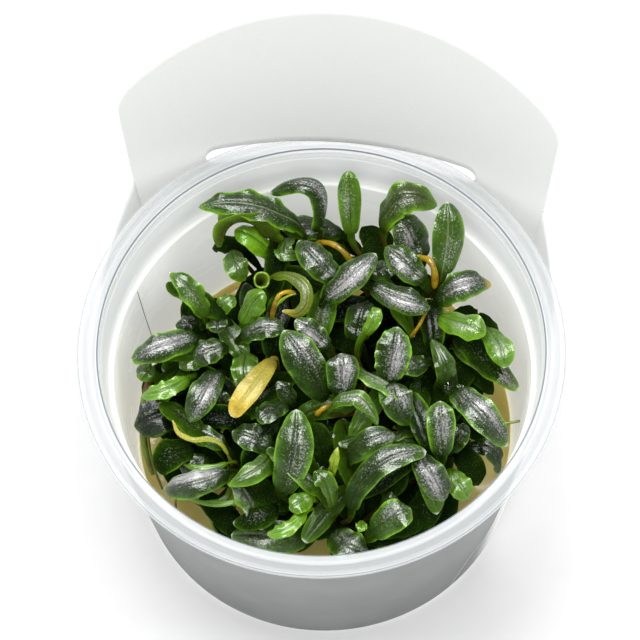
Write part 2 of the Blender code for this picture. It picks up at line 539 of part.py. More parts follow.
def main():
    clear_scene()
    parts = bpy.data.collections.new("bucephalandra")
    cutters = bpy.data.collections.new("cutters")
    for collection in (parts, cutters):
        bpy.context.scene.collection.children.link(collection)
    plastic = material("translucent_tub", (0.86, 0.88, 0.87), 0.35)
    card = material("printed_card", (0.62, 0.64, 0.63), 0.6)
    jelly = material("nutrient_gel", (0.62, 0.55, 0.33), 0.25)
    bark = material("rhizome", (0.16, 0.14, 0.03), 0.5)
    blade = material("leaf", (0.03, 0.09, 0.02), 0.3)
    make_tub(parts, plastic)
    make_sleeve(parts, cutters, card)
    make_gel(parts, jelly)
    for name in STEMS:
        make_stem(name, parts, cutters, bark)
    for name, row in LEAVES.items():
        make_leaf("leaf_" + name, row, LEAF_CLEARANCE, PETIOLE_PARTS, BLADE_PARTS, parts, blade)


main()
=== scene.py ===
"""A bucephalandra plant in its growing cup, dressed for its picture.

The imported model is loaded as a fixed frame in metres, with +Z up, +Y to the back and the
origin under the middle of the cup. Each piece here stands where its solid stands. The
tables of sizes and places are written in millimetres and degrees.
"""
import math
from functools import partial

import bpy
import numpy as np
from mathutils import Matrix, Vector


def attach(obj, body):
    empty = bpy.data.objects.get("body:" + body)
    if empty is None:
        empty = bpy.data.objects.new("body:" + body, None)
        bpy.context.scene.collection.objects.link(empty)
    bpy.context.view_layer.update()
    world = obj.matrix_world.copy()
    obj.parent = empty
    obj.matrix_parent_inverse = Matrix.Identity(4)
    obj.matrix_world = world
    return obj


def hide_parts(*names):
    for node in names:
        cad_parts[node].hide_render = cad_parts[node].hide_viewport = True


bl_info = {
    "name": "Bucephalandra in a growing cup",
    "version": (1, 0, 0),
    "blender": (4, 5, 0),
    "location": "3D View > Sidebar > Plant cup",
    "description": "Builds the plant, its cup, gel and card round the packed frame",
    "category": "Object",
}

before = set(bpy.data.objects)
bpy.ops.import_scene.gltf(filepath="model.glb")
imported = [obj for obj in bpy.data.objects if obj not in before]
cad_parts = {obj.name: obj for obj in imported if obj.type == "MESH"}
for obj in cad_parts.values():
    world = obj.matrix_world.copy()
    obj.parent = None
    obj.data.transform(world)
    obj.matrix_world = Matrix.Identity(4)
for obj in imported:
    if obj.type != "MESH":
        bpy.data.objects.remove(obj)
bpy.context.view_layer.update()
MM = 0.001
TAU = math.tau

# Camera
CAMERA_PLACE = (0.02352, -0.17173, 0.41510)
CAMERA_TARGET = (-0.000594, 0.00434, 0.0465)
CAMERA_LENS = 140.625           # millimetres, on a square frame 36 mm wide
CAMERA_ROLL = math.radians(-2.54)

# The cup: (radius, height) from the flange's inner lip outwards, down the outside, under the
# base, and up the inside to the lip again
CUP_OUTSIDE = (
    (36.45, 46.2), (36.62, 46.42), (36.9, 46.5), (37.6, 46.46), (38.3, 46.3), (38.75, 46.02),
    (39.0, 45.88), (39.35, 45.88), (39.66, 45.88), (39.78, 45.8), (39.88, 45.84), (39.95, 45.76),
    (40.0, 45.6), (39.98, 45.35), (39.85, 45.2), (39.3, 45.12), (38.0, 45.2), (37.2, 45.1),
    (36.98, 44.6), (36.75, 42.5), (36.3, 39.6), (35.85, 37.6), (35.6, 37.0), (35.4, 35.0),
    (34.6, 26.0), (33.6, 15.0), (32.75, 5.0), (32.5, 1.9), (32.3, 1.0), (31.9, 0.35),
    (31.3, 0.06), (30.6, 0.0), (29.6, 0.05), (28.9, 0.32), (28.2, 0.4), (20.0, 0.4), (10.0, 0.4),
    (0.0, 0.4),
)
CUP_INSIDE = (
    (0.0, 0.95), (10.0, 0.95), (20.0, 0.95), (28.6, 0.95), (30.6, 0.75), (31.2, 0.8), (31.7, 1.15),
    (31.92, 1.8), (32.15, 5.0), (33.0, 15.0), (34.0, 26.0), (34.62, 35.0), (34.72, 36.7),
    (34.8, 36.95), (35.0, 37.08), (35.22, 37.25), (35.36, 37.7), (35.7, 39.6), (36.12, 42.5),
    (36.2, 43.7), (36.36, 43.85), (36.38, 44.0), (36.24, 44.15), (36.3, 45.2), (36.32, 45.9),
)
INNER_WALL = CUP_INSIDE[8:13]   # its upright part, from above the foot to the ledge
FLANGE_FOOT = 45.05             # the flange is all that stands above this
EDGE_FOOT = 45.7                # its top and its outer edge stand above this
LIP_FOOT = 46.3                 # and its inner lip above this
# Painted shade: thin dark lines and a dark band where the flange's clear plastic turns light away
LIP_SHADE_LINE = (36.6, 0.12)         # the thin dark lines on it: radius and half width
EDGE_SHADE_LINE = (39.74, 0.045)
FLANGE_TOP_SHADE = 0.36                 # how dark the flange's top is, and the wall's upper end
UPPER_WALL_SHADE = 0.5
# A fine upright line of painted shade on the inside of the wall
WALL_SHADE_LINE = math.radians(160.0)     # where the wall's fine upright line stands, and how high
WALL_SHADE_LINE_HEIGHTS = (14.0, 36.2)
WALL_SHADE_LINE_RADIUS = 0.08

# The gel: (radius, height) from the middle of its top outwards and down
GEL_PROFILE = (
    (0.0, 12.2), (6.0, 12.2), (12.0, 12.2), (18.0, 12.2), (24.0, 12.2), (28.5, 12.2), (30.2, 12.22),
    (31.2, 12.32), (31.9, 12.55), (32.35, 12.95), (32.45, 13.0), (32.3, 11.0), (31.95, 5.0),
    (31.65, 2.0), (31.45, 1.5), (30.8, 1.28), (29.0, 1.25), (20.0, 1.25), (8.0, 1.25), (0.0, 1.25),
)

# The card sleeve, with its header leaned back a little more than its solid's
CARD = 0.4
CARD_LEAN = math.radians(5.5)
HEADER_LEAN = math.radians(7.1)
CARD_RADIUS = 37.6
BACK_RADIUS = 72.0
BACK_HALF = 36.3
RIM_HEIGHT = 46.5
HEADER_RISE = 35.2
HEADER_TOP_RADIUS = 53.0
HEADER_CORNER = 3.5
SLOT_HALF = 23.4
SLOT_LOW, SLOT_HIGH = 43.2, 47.2
SLOT_RADIUS = (SLOT_HIGH - SLOT_LOW) / 2
SIDE_JOIN = math.asin(4.0 / CARD_RADIUS)    # where the band's own circle starts
SIDE_BULGE = (38.2, 16.0)
CURVE_SHARE = 0.62              # of a side, before the circle starts
BAND_HEIGHTS = (0.6, 11.0, 13.5, 16.0, 44.9)
BAND_CUTS = (44.0, 38.0, 31.0, 28.0, 24.0)      # where the band is cut at these heights
BAND_CUT_WIDTHS = (0.15, 0.3, 0.9, 1.5, 1.7)
BARE_ARM = (22.0, 36.0)         # the short arm is white before this and printed after

# Leaves and rhizomes
LEAF_THICKNESS = 0.36
PETIOLE_WIDTH = 0.85
PETIOLE_RISE = 0.5
STEM_RADIUS = 1.4
STEM_TAPER = 0.35
LEAF_CLEARANCE = 2.1
YOUNG_CLEARANCE = 0.3
BLADE_REACH = 1.04              # a blade runs on a little past its solid's blunt tip
BLADE_WIDEST = 0.52             # where along the blade it is widest
FOOT_POWER = 1.9                # the superellipse from its foot to there
FINE = (12, 36, 40)             # stations on a petiole and a blade, and points round a loop
COARSE = (6, 16, 22)            # the same for the leaves deep in the plant
LOOP_CROWDING = 1.35            # draws a loop's points in towards the midrib
STATION_CROWDING = 0.55         # draws a blade's stations towards its two ends
GROOVE_DEPTH = 0.13             # the midrib's groove, in shares of the blade's half width
GROOVE_WIDTH = 0.1
VEIN_HEIGHT = 0.05              # the low waves along the side veins
# The bloom is a painted sheen
BLOOM_SHEEN_WIDTH = 0.58              # how far the bloom reaches across, of the half width
TWIST_SPREAD, DOME_SPREAD, CURL_SPREAD = 22, 14, 0.4     # chance's part in a leaf's shape

# Each rhizome: its foot, middle and growing tip
STEMS = {
    "back": ((-13, 20, 14.3), (-8, 22.5, 20), (-5, 23, 30)),
    "back_right": ((7, 18, 14.3), (10, 20, 21), (12, 19, 31)),
    "left": ((-13, 12, 14.3), (-17, 9, 20), (-18, 6, 30)),
    "centre": ((-11, -3, 14.3), (-7, -1, 20), (-5, -3, 29)),
    "centre_right": ((8, 5, 14.3), (9.5, 1, 20), (8, -3, 30)),
    "right": ((23, 10, 14.3), (21, 6, 20), (19.5, 4, 29)),
    "front_right": ((16.5, -8, 14.3), (18.5, -10.5, 19), (19, -11.5, 27)),
    "front": ((11, -19, 14.3), (6, -21.5, 19), (2, -21, 28)),
    "front_left": ((-17, -11, 14.3), (-14, -14, 19), (-11.5, -16, 28)),
}

# Each leaf: its rhizome, how far up that it grows, the start, middle and tip of its blade,
# and the blade's width
LEAVES = {
    "back_long": ("back", 0.9, (-6.5, 25, 39), (-13.5, 26, 44), (-22.5, 25, 44.5), 5.4),
    "back_arch": ("back", 0.75, (-2.2, 26, 38.5), (-3.6, 30, 44.4), (-10.5, 30, 42), 4.6),
    "under_curl": ("back", 0.4, (-11, 24.5, 37), (-16.5, 24.5, 41.5), (-20, 21.5, 38), 4.8),
    "lime_round": ("back", 0.7, (-10.5, 22, 33.5), (-13.5, 22.5, 38.5), (-17, 23.5, 39.5), 4.4),
    "c_leaf": ("back", 0.4, (-10, 15.5, 38), (-4, 13, 41), (-7, 9, 39), 3.4),
    "olive": ("left", 0.8, (-14, 8, 35), (-13, 10, 38), (-11, 11.5, 40), 4.6),
    "bright_tip": ("left", 0.97, (-20.5, 8, 37), (-22.5, 9.8, 42), (-26.5, 12.5, 43), 4.0),
    "sheen_h": ("left", 0.65, (-14, 5, 36), (-10.5, 6, 38.5), (-7, 6, 38.5), 4.4),
    "left_big": ("left", 0.95, (-21.8, 4.6, 35), (-26.5, 2, 37.5), (-32, -0.5, 36), 5.0),
    "left_mid": ("left", 0.97, (-17.2, 2.6, 36.5), (-19.5, 1.3, 37.5), (-21.6, -0.2, 36), 4.8),
    "bright_v": ("centre", 0.9, (-13, 2.8, 33), (-13, -0.5, 36.5), (-12, -4, 35), 5.0),
    "yellow": ("centre", 0.8, (-8.5, 1, 36.5), (-11, -5.5, 39.5), (-14, -10, 38), 3.9),
    "centre_big": ("centre", 0.97, (0.5, -4, 35), (-2.5, -0.5, 40), (-6.5, 4.5, 41), 6.4),
    "grey_c": ("centre", 0.7, (0.5, 4.5, 36), (-2, 6, 38), (-5, 7.5, 39), 4.2),
    "upright": ("back_right", 0.9, (2.5, 25.5, 37), (2, 29.5, 42), (1.5, 33, 45), 4.1),
    "big_curl": ("back_right", 0.97, (8, 26.5, 38.5), (10.5, 29.3, 44.5), (16.5, 29.5, 43), 5.8),
    "grey_b2": ("back_right", 0.8, (14.5, 22, 37), (13, 24.5, 40), (11, 27, 42), 4.6),
    "back_right": ("back_right", 0.7, (18.5, 19, 38), (19, 23.5, 42.5), (18.5, 28.5, 45), 5.6),
    "right_blue": ("back_right", 0.5, (18.4, 14.8, 36), (22, 16.5, 39.5), (27, 18.5, 37), 5.6),
    "sheen_1": ("back_right", 0.85, (15.5, 16.5, 39.5), (12.5, 18.5, 41.5), (9, 21, 42), 4.9),
    "sheen_2": ("back_right", 0.6, (7, 15.5, 38), (12.5, 13, 39.5), (17, 12.5, 38), 4.8),
    "sheen_3": ("back_right", 0.45, (-0.5, 12.5, 38), (3, 15, 41.5), (7, 19.5, 42), 5.0),
    "dark_b": ("back", 0.5, (0.5, 17, 37), (-2.5, 19, 39), (-6, 22.5, 39), 5.4),
    "dark_c": ("centre_right", 0.5, (5, 7.5, 33), (5.5, 11, 35.5), (6.3, 14.6, 34.5), 5.4),
    "sheen_4": ("centre_right", 0.9, (3.5, -4, 37), (3.5, -1.5, 40), (3, 1.5, 40.5), 5.6),
    "frill": ("centre_right", 0.7, (11, -0.5, 36.5), (11.5, 2, 40.5), (12, 6.5, 41.5), 6.0),
    "purple": ("centre_right", 0.97, (12, -3, 38), (13, -5.5, 38.8), (15.5, -8, 35.5), 6.2),
    "s_curve": ("centre_right", 0.97, (2.5, -7.5, 39), (6.5, -6.5, 41), (10, -9.5, 38.5), 2.9),
    "dark_v": ("right", 0.95, (20, 0, 35), (20.5, 1, 39), (18, 5.5, 39.5), 3.7),
    "right_g1": ("right", 0.8, (19, 11.4, 36), (23, 9, 40), (26.5, 7.2, 40.3), 4.8),
    "right_g2": ("right", 0.3, (26.9, 9.5, 36.5), (29.2, 5.5, 39.3), (30.1, 2.2, 38.5), 4.6),
    "right_long": ("right", 0.7, (21.9, 7.9, 33), (26.9, 4.8, 35), (32.6, 1, 33.5), 4.4),
    "right_big": ("right", 0.6, (22.5, -1.5, 35.5), (26.5, -6, 38.5), (31.5, -10, 35), 6.0),
    "oval": ("front_right", 0.95, (21, -13, 35), (20.5, -10, 40), (20, -6, 41), 4.8),
    "grey_r": ("front_right", 0.8, (17.2, -14.8, 37.5), (20, -18, 37.5), (22, -20.5, 34), 5.0),
    "lime_r": ("front_right", 0.45, (23, -15, 32), (24.5, -17.5, 33.5), (26, -19, 32), 4.2),
    "deep_f": ("front_right", 0.4, (19.8, -16.5, 29.5), (19.1, -20.8, 31), (16, -25.6, 29), 6.0),
    "pale_arch": ("front", 0.8, (6, -14.6, 35), (9.3, -13, 39.5), (13.2, -11.2, 38), 6.2),
    "long_arch": ("front", 0.85, (7, -23.3, 34), (10.5, -18, 40), (18, -14.5, 40), 6.6),
    "oval_f": ("front", 0.5, (11, -26.5, 33), (14, -25, 37), (16.5, -23.5, 36.5), 5.6),
    "front_r": ("front", 0.5, (4.5, -25.8, 28), (7, -28.5, 31), (10.5, -29.2, 29.5), 5.8),
    "edge_v": ("front", 0.97, (3.6, -22.8, 33), (2.6, -20.5, 36.5), (0.5, -18.5, 37), 3.8),
    "tall": ("front", 0.97, (-4.5, -21.5, 35), (-3, -17.5, 41.5), (-3, -11.5, 42), 6.3),
    "front_low": ("front", 0.8, (-0.5, -26.5, 28), (-6.5, -28, 31), (-12.5, -27.5, 29), 6.2),
    "white_stripe": ("front_left", 0.8, (-14, -19, 34.5), (-19, -22, 36.5),
                     (-24.1, -22, 33.2), 4.8),
    "dark_h": ("front_left", 0.95, (-7.7, -12.9, 33), (-10.3, -12.4, 35),
               (-13.8, -11.4, 34.5), 5.0),
    "glassy": ("left", 0.3, (-23.5, -5.5, 30), (-27, -8.5, 32), (-31, -10, 30), 6.0),
    "grey_l": ("centre", 0.55, (-17.5, -1.5, 35), (-19, -6.5, 38.5), (-21, -11, 36.5), 5.0),
}

# Young and shaded leaves, which are joined to their rhizome's solid
YOUNG = {
    "back_low": ("back_right", 0.35, (0.5, 28.5, 31), (-4.5, 28.5, 33), (-9.5, 28, 32.5), 4.6),
    "hook": ("back", 0.6, (-8, 24, 36), (-8.5, 20.5, 38.5), (-5.5, 21, 37), 3.4),
    "wavy": ("back", 0.35, (-17.5, 21.5, 34), (-16.5, 18.5, 36), (-14.8, 16.5, 34.5), 4.2),
    "ring": ("left", 0.75, (-12, 15.3, 34), (-12, 14.8, 37.3), (-11.5, 14.1, 39.8), 3.4),
    "stripe": ("left", 0.6, (-19, 9.5, 35), (-17.5, 10.5, 37), (-16, 12, 37), 3.4),
    "left_dark": ("left", 0.4, (-21, 9.5, 31), (-23.5, 9, 32), (-26, 8.5, 31.5), 3.6),
    "mid": ("left", 0.9, (-18.3, 7.8, 35.5), (-18.2, 6.2, 38.5), (-17.8, 4.3, 39), 3.6),
    "pale": ("left", 0.95, (-19.9, 2.2, 32.5), (-22.2, 1.2, 34), (-24.2, -0.2, 33.3), 4.4),
    "bright": ("left", 0.5, (-22.5, -2.5, 34), (-25.5, -6, 37), (-29.5, -6.5, 35), 3.4),
    "round": ("left", 0.35, (-28.5, -1.5, 32), (-30, -1, 33), (-31.5, 0, 32), 3.6),
    "grey_back": ("back_right", 0.6, (6.5, 20, 34), (8.5, 20.3, 35.5), (11, 20.8, 36), 4.2),
    "small_right": ("right", 0.8, (17, 3, 36), (15, 1.5, 37.5), (12.5, 1.5, 37.5), 3.2),
    "twist": ("centre_right", 0.6, (6.5, 6.5, 38), (8, 8.5, 40), (7.5, 10.5, 40), 2.6),
    "deep_front": ("front_right", 0.5, (24, -9.5, 28), (26, -12, 29), (27.5, -14.5, 27), 4.8),
    "black": ("front_right", 0.3, (25, -6, 22), (29, -6.5, 24), (31, -9, 20), 3.4),
    "fold": ("front", 0.9, (0, -23, 36.5), (-1.5, -24.5, 38), (-3, -25.5, 37.5), 3.8),
    "bright_front": ("front", 0.8, (-0.5, -25.5, 36), (-3, -29, 37.5), (-6, -29.5, 36), 2.8),
    "low_front": ("front_left", 0.7, (-5.9, -23.7, 32.3), (-7.9, -26.1, 34.3),
                  (-12.1, -26.5, 32), 4.4),
    "thin": ("front_left", 0.6, (-8.5, -20, 30), (-14, -23, 31), (-20, -22, 29), 1.8),
    "pointed": ("front_left", 0.9, (-7, -15.6, 35), (-8.8, -19, 37.5), (-13, -21.9, 37), 3.9),
    "dark_top": ("centre", 0.9, (-5.8, -5.6, 34), (-7.8, -8.4, 37), (-9.7, -10.4, 37.5), 4.2),
    "gold": ("front_left", 0.85, (-14.5, -15.5, 35), (-19, -14.5, 38), (-24, -11.5, 38), 2.2),
    "dark_left": ("front_left", 0.75, (-15, -14, 33.5), (-18.5, -12.5, 34.5),
                  (-22.5, -11.5, 33.5), 3.6),
    "low_left": ("front_left", 0.4, (-20.8, -14.5, 32), (-23.7, -16.5, 34.5),
                 (-25.8, -19, 32), 5.8),
    "speckled": ("front_left", 0.5, (-18, -15.5, 31.5), (-20, -17.5, 33), (-21.5, -19, 31), 3.6),
    "low_centre": ("centre_right", 0.6, (4, -6.5, 27), (1, -9, 29), (-2.5, -10.5, 28), 5.0),
    "low_inner": ("centre", 0.95, (-5.5, -6.5, 30.5), (-2, -7, 32), (1.5, -6.8, 31), 4.4),
    "low_shade": ("back_right", 0.4, (12, 13.5, 28), (14, 11, 31), (16.5, 8.5, 30), 5.5),
    "low_corner": ("back_right", 0.15, (17, 14.3, 26), (20.3, 13.2, 28.5), (23.5, 12, 28), 4.4),
    "low_back": ("back_right", 0.5, (8, 24, 30), (6.5, 27.5, 32), (4, 30.5, 31), 5.0),
    "low_grey": ("centre", 0.4, (-14, -4.5, 30), (-17, -7, 32), (-19, -10, 31), 5.0),
    "low_arch": ("front_right", 0.5, (13.6, -12, 30), (13.3, -16, 32), (12, -19.5, 31), 5.0),
    "low_middle": ("centre", 0.6, (-3.5, 9.5, 30), (-3, 12, 33), (-2, 15, 33), 4.5),
    "low_right": ("right", 0.8, (17, 1.8, 30), (14.8, 0.5, 32), (12.5, -0.5, 31), 4.5),
    "low_wall": ("back", 0.3, (-15.5, 23.5, 31), (-18.5, 24.5, 32), (-21.5, 24, 31), 4.0),
    "low_left_in": ("left", 0.5, (-13, 6, 30), (-10.5, 7.5, 32.5), (-7, 8.5, 32.5), 5.0),
    "low_oval": ("front_right", 0.9, (16.8, -8.8, 30), (15.5, -6.5, 32), (13.5, -4, 31.5), 4.5),
    "low_side": ("front", 0.8, (1.4, -15.5, 31), (0.8, -12.6, 35), (-1.2, -9.3, 35.5), 4.4),
    "spear": ("front", 0.95, (3.2, -17.9, 34), (3.5, -16.9, 37.5), (4, -14.9, 39), 1.6),
    "hooked": ("centre", 0.95, (-4.5, -5, 33.5), (-5.5, -4.5, 36), (-7, -3, 37), 3.2),
    "speck": ("centre_right", 0.8, (5.8, -10, 29.5), (4.2, -10, 32), (2.3, -8.8, 32), 4.2),
    "behind_oval": ("front_right", 0.8, (22, -9.6, 30), (23.2, -8.5, 33), (24, -6, 33), 4.2),
    "pale_fold": ("front_right", 0.97, (15.7, -9.8, 31.5), (14.2, -10.2, 33.5),
                  (12.2, -9.2, 33.5), 3.4),
    "small": ("front", 0.6, (11.9, -21.6, 33), (12.9, -21.2, 34.5), (14.3, -20.7, 34), 3.0),
    "drop": ("front", 0.4, (8.8, -25.3, 33.5), (8.9, -26.8, 36), (9.2, -28, 37), 2.0),
    "folded": ("centre", 0.5, (-15.9, -8.2, 31), (-16.1, -6.7, 34), (-16.7, -4.7, 35), 3.2),
}

# Narrow strands and a sprout that the picture shows and no solid stands for
STRANDS = {
    "strand_a": ("front_left", 0.7, (-14.3, -16.7, 33), (-17.6, -18, 33.5),
                 (-21.1, -17.5, 33), 1.4),
    "strand_b": ("front_left", 0.5, (-13.7, -19.3, 29), (-14.6, -21.9, 29.5),
                 (-18.3, -22.4, 29), 1.3),
    "sprout": ("left", 0.75, (-9, 9.7, 36), (-8.2, 10.6, 39.2), (-5.7, 11.4, 41), 1.5),
}

# Blades that wind more than one curve can: points from base to tip
WINDINGS = {
    "gold": ((-14.1, -15.9, 35), (-15.2, -15, 37), (-17.2, -14.7, 38), (-19.9, -15.2, 38.5),
             (-22.2, -14.3, 38.5), (-23.4, -12.2, 38)),
    "c_leaf": ((-9.9, 15.9, 38), (-6.9, 15.4, 40), (-4, 12.9, 41), (-3.6, 10.3, 40),
               (-5.1, 8.9, 38.5), (-7.2, 9.3, 38)),
    "back_arch": ((-3.6, 25.6, 37.5), (-2.5, 27.6, 41), (-3.6, 29.8, 43.8), (-6.8, 30.6, 44.2),
                  (-11.3, 29.8, 42.3)),
}

# The leaves deep in the plant that no one can tell apart: how many are tried for and kept,
# between what heights, how far from the axis, and how far apart their middles stay
DEEP_TRIES, DEEP_COUNT = 2600, 170
DEEP_HEIGHTS = (17.0, 33.0)
DEEP_REACH, DEEP_TIP_REACH = 29.5, 31.5
DEEP_SPACING = 3.5
# The same for the half-hidden leaves, and how far under the top ones near them they stay
MID_TRIES, MID_COUNT = 4000, 40
MID_HEIGHTS = (31.0, 38.0)
MID_REACH, MID_TIP_REACH = 27.0, 31.0
MID_SPACING = 4.2
MID_UNDER, MID_NEAR = 1.8, 5.0
TOP_HEIGHT = 35.5               # the top leaves are those with their middles above this
# Where the gel is seen, so none of these stand there: x, y and radius
CLEARINGS = ((28, -4, 6.5), (-22, -20, 7.5), (27, -14, 5), (-29, 5, 5))

# How a leaf differs from a plain dark one. young: 0 dark to 1 bright green. sheen: how much
# of the painted sheen, a grey-lilac bloom painted into the colour, it shows, at: where along
# the blade, side: where across it (-1 to 1), spread: how far it reaches along. edge: how
# bright the margin is. warm: 0 to 1 towards yellow and brown. wave: height of the margin's
# ripples in millimetres. twist: degrees from base to tip. dome: degrees that each half bends
# down. curl: how far the margins turn up. hook: how far the tip bends down. tip: 1.4 pointed
# to 2.4 round. slim: share of its solid's width. ochre: 0 for an olive petiole to 1 for an
# orange one. shade: painted shade, 0 lit to 1 near black. rib: 0 for a dark midrib line to 1
# for a pale one. pace: ripples along a margin, if set. round: whether the blade follows a
# circle's arc. ripe: how yellow the tip is. roll: degrees that the whole blade is turned
# about its midrib.
PLAIN = dict(young=0.07, sheen=0.36, at=0.5, side=0.0, spread=0.35, edge=0.5, warm=0.0, wave=0.34,
             twist=0.0, dome=38.0, curl=0.1, hook=0.08, tip=1.85, slim=1.12, ochre=0.0, shade=0.0,
             rib=0.0, pace=0.0, round=False, ripe=0.0, roll=0.0)
# A low leaf half in the shade, and one deep in the plant, both darkened by painted shade
SHADED = dict(young=0.05, sheen=0.1, edge=0.25, shade=0.4)
DEEP = dict(young=0.05, sheen=0.0, edge=0.2, shade=0.9)
LOOKS = {
    "back_long": dict(edge=0.9, wave=0.6, tip=1.6, sheen=0.4, rib=0.9, pace=3.2),
    "back_arch": dict(edge=0.7, sheen=0.7, at=0.45, wave=0.3, slim=0.9),
    "under_curl": dict(edge=1.0, warm=0.1, young=0.25, dome=-45.0, slim=1.7, roll=50.0),
    "lime_round": dict(young=0.85, edge=0.8, sheen=0.1),
    "c_leaf": dict(young=0.3, warm=0.18, sheen=0.5, tip=1.8, edge=0.7, slim=0.85, dome=60.0,
                   ripe=0.6),
    "olive": dict(young=0.45, sheen=0.3, edge=0.4),
    "bright_tip": dict(young=0.25, edge=0.9, sheen=0.5, wave=0.5, tip=1.5),
    "sheen_h": dict(sheen=0.75),
    "left_big": dict(sheen=0.9, edge=0.85, spread=0.5, tip=1.8),
    "left_mid": dict(sheen=0.6, wave=0.4),
    "bright_v": dict(young=0.35, edge=0.9, sheen=0.5, at=0.75, side=0.4, wave=0.4),
    "yellow": dict(young=0.4, warm=1.0, sheen=0.0, edge=0.0, wave=0.12, tip=2.2, dome=12.0,
                   curl=0.15, rib=1.0),
    "centre_big": dict(sheen=0.6, at=0.6, side=-0.3, edge=0.6),
    "grey_c": dict(sheen=0.95, spread=0.5),
    "upright": dict(young=0.35, edge=0.6, sheen=0.6, side=0.3),
    "big_curl": dict(young=0.12, edge=0.8, warm=0.03, sheen=0.4, wave=0.4),
    "grey_b2": dict(sheen=0.8, edge=0.5, wave=0.5, slim=1.45, side=0.3),
    "back_right": dict(young=0.2, sheen=0.55, at=0.25, edge=0.5, tip=1.7, rib=0.8),
    "right_blue": dict(sheen=0.95, at=0.5, edge=0.8, tip=1.5, ripe=0.8),
    "sheen_1": dict(sheen=0.9, edge=0.35),
    "sheen_2": dict(sheen=0.9, edge=0.35, spread=0.5),
    "sheen_3": dict(sheen=1.0, spread=0.6, edge=0.4),
    "dark_b": dict(sheen=0.5, at=0.5),
    "dark_c": dict(sheen=0.1, edge=0.4, twist=20, wave=0.4),
    "sheen_4": dict(sheen=0.95, spread=0.6, edge=0.45, tip=2.15),
    "frill": dict(sheen=0.9, at=0.4, side=-0.3, edge=0.95, wave=0.5, spread=0.5, pace=4.3),
    "purple": dict(sheen=0.75, edge=0.7, wave=0.6, tip=1.7),
    "s_curve": dict(young=0.3, sheen=0.7, spread=0.6),
    "dark_v": dict(young=0.15, sheen=0.1, edge=0.3, tip=1.7),
    "right_g1": dict(young=0.55, edge=1.0, sheen=0.6, wave=0.5),
    "right_g2": dict(young=0.55, edge=1.0, sheen=0.6, wave=0.3),
    "right_long": dict(sheen=0.9, edge=0.8, spread=0.6, wave=0.4, warm=0.03),
    "right_big": dict(sheen=0.85, edge=0.95, wave=0.3, spread=0.45, tip=1.8),
    "oval": dict(young=0.1, sheen=0.8, edge=1.0, tip=2.15, spread=0.45),
    "grey_r": dict(young=0.05, sheen=0.9, edge=0.6, spread=0.6, tip=2.15),
    "lime_r": dict(young=0.6, edge=0.9, sheen=0.2),
    "deep_f": dict(sheen=0.4, edge=0.2),
    "pale_arch": dict(sheen=0.7, at=0.85, edge=0.8, wave=0.15, slim=0.85, round=True),
    "long_arch": dict(sheen=0.5, at=0.8, edge=0.55, spread=0.4, tip=2.1, slim=0.78, round=True,
                      dome=30.0),
    "oval_f": dict(young=0.15, sheen=0.65, edge=0.9, tip=2.0, curl=0.0, hook=0.0, wave=0.12,
                   dome=26.0),
    "front_r": dict(young=0.12, sheen=0.6, edge=0.8, spread=0.5),
    "edge_v": dict(young=0.25, edge=0.95, sheen=0.2, wave=0.35, tip=1.7),
    "tall": dict(young=0.1, sheen=0.5, edge=0.8, tip=2.1, spread=0.5, hook=-0.2),
    "front_low": dict(young=0.15, sheen=0.4, edge=0.6, wave=0.3),
    "white_stripe": dict(sheen=1.2, side=-0.5, edge=0.8, spread=0.6, tip=1.9),
    "dark_h": dict(sheen=0.45, edge=0.5),
    "glassy": dict(sheen=0.6, edge=0.25, young=0.0, shade=0.12, side=-0.85, slim=1.3),
    "grey_l": dict(sheen=0.85, spread=0.5, edge=0.4),
    "bright": dict(young=0.75, edge=0.9, wave=0.4),
    "bright_front": dict(young=0.8, edge=0.9),
    "fold": dict(young=0.5, edge=0.95, wave=0.3),
    "pointed": dict(young=0.3, edge=0.95, tip=1.5, wave=0.3),
    "thin": dict(young=0.85, edge=0.6, slim=0.7, wave=0.1),
    "gold": dict(young=0.8, warm=0.7, sheen=0.0, edge=1.0, slim=0.55, dome=50.0, wave=0.1, rib=0.0,
                 ripe=0.2),
    "stripe": dict(young=0.4, edge=0.8),
    "hook": dict(young=0.3, edge=0.7, sheen=0.4),
    "twist": dict(young=0.6, edge=0.9, wave=0.3),
    "spear": dict(young=0.9, warm=0.35, sheen=0.0, tip=1.5),
    "drop": dict(young=0.7, edge=0.9),
    "pale_fold": dict(young=0.45, sheen=0.7),
    "pale": dict(young=0.3, sheen=0.7),
    "low_front": dict(sheen=0.6, edge=0.4),
    "low_left": dict(sheen=0.45, edge=0.6),
    "round": dict(young=0.3, edge=0.6),
    "wavy": dict(young=0.3, edge=0.8, wave=0.5),
    "small": dict(young=0.1, slim=0.8, edge=0.3),
    "strand_a": dict(young=0.8, edge=0.5, wave=0.1),
    "strand_b": dict(young=0.8, edge=0.5, wave=0.1),
    "sprout": dict(young=0.8, warm=0.3, edge=0.3, wave=0.1, tip=1.5, ochre=1.0, slim=0.42,
                   round=True),
}

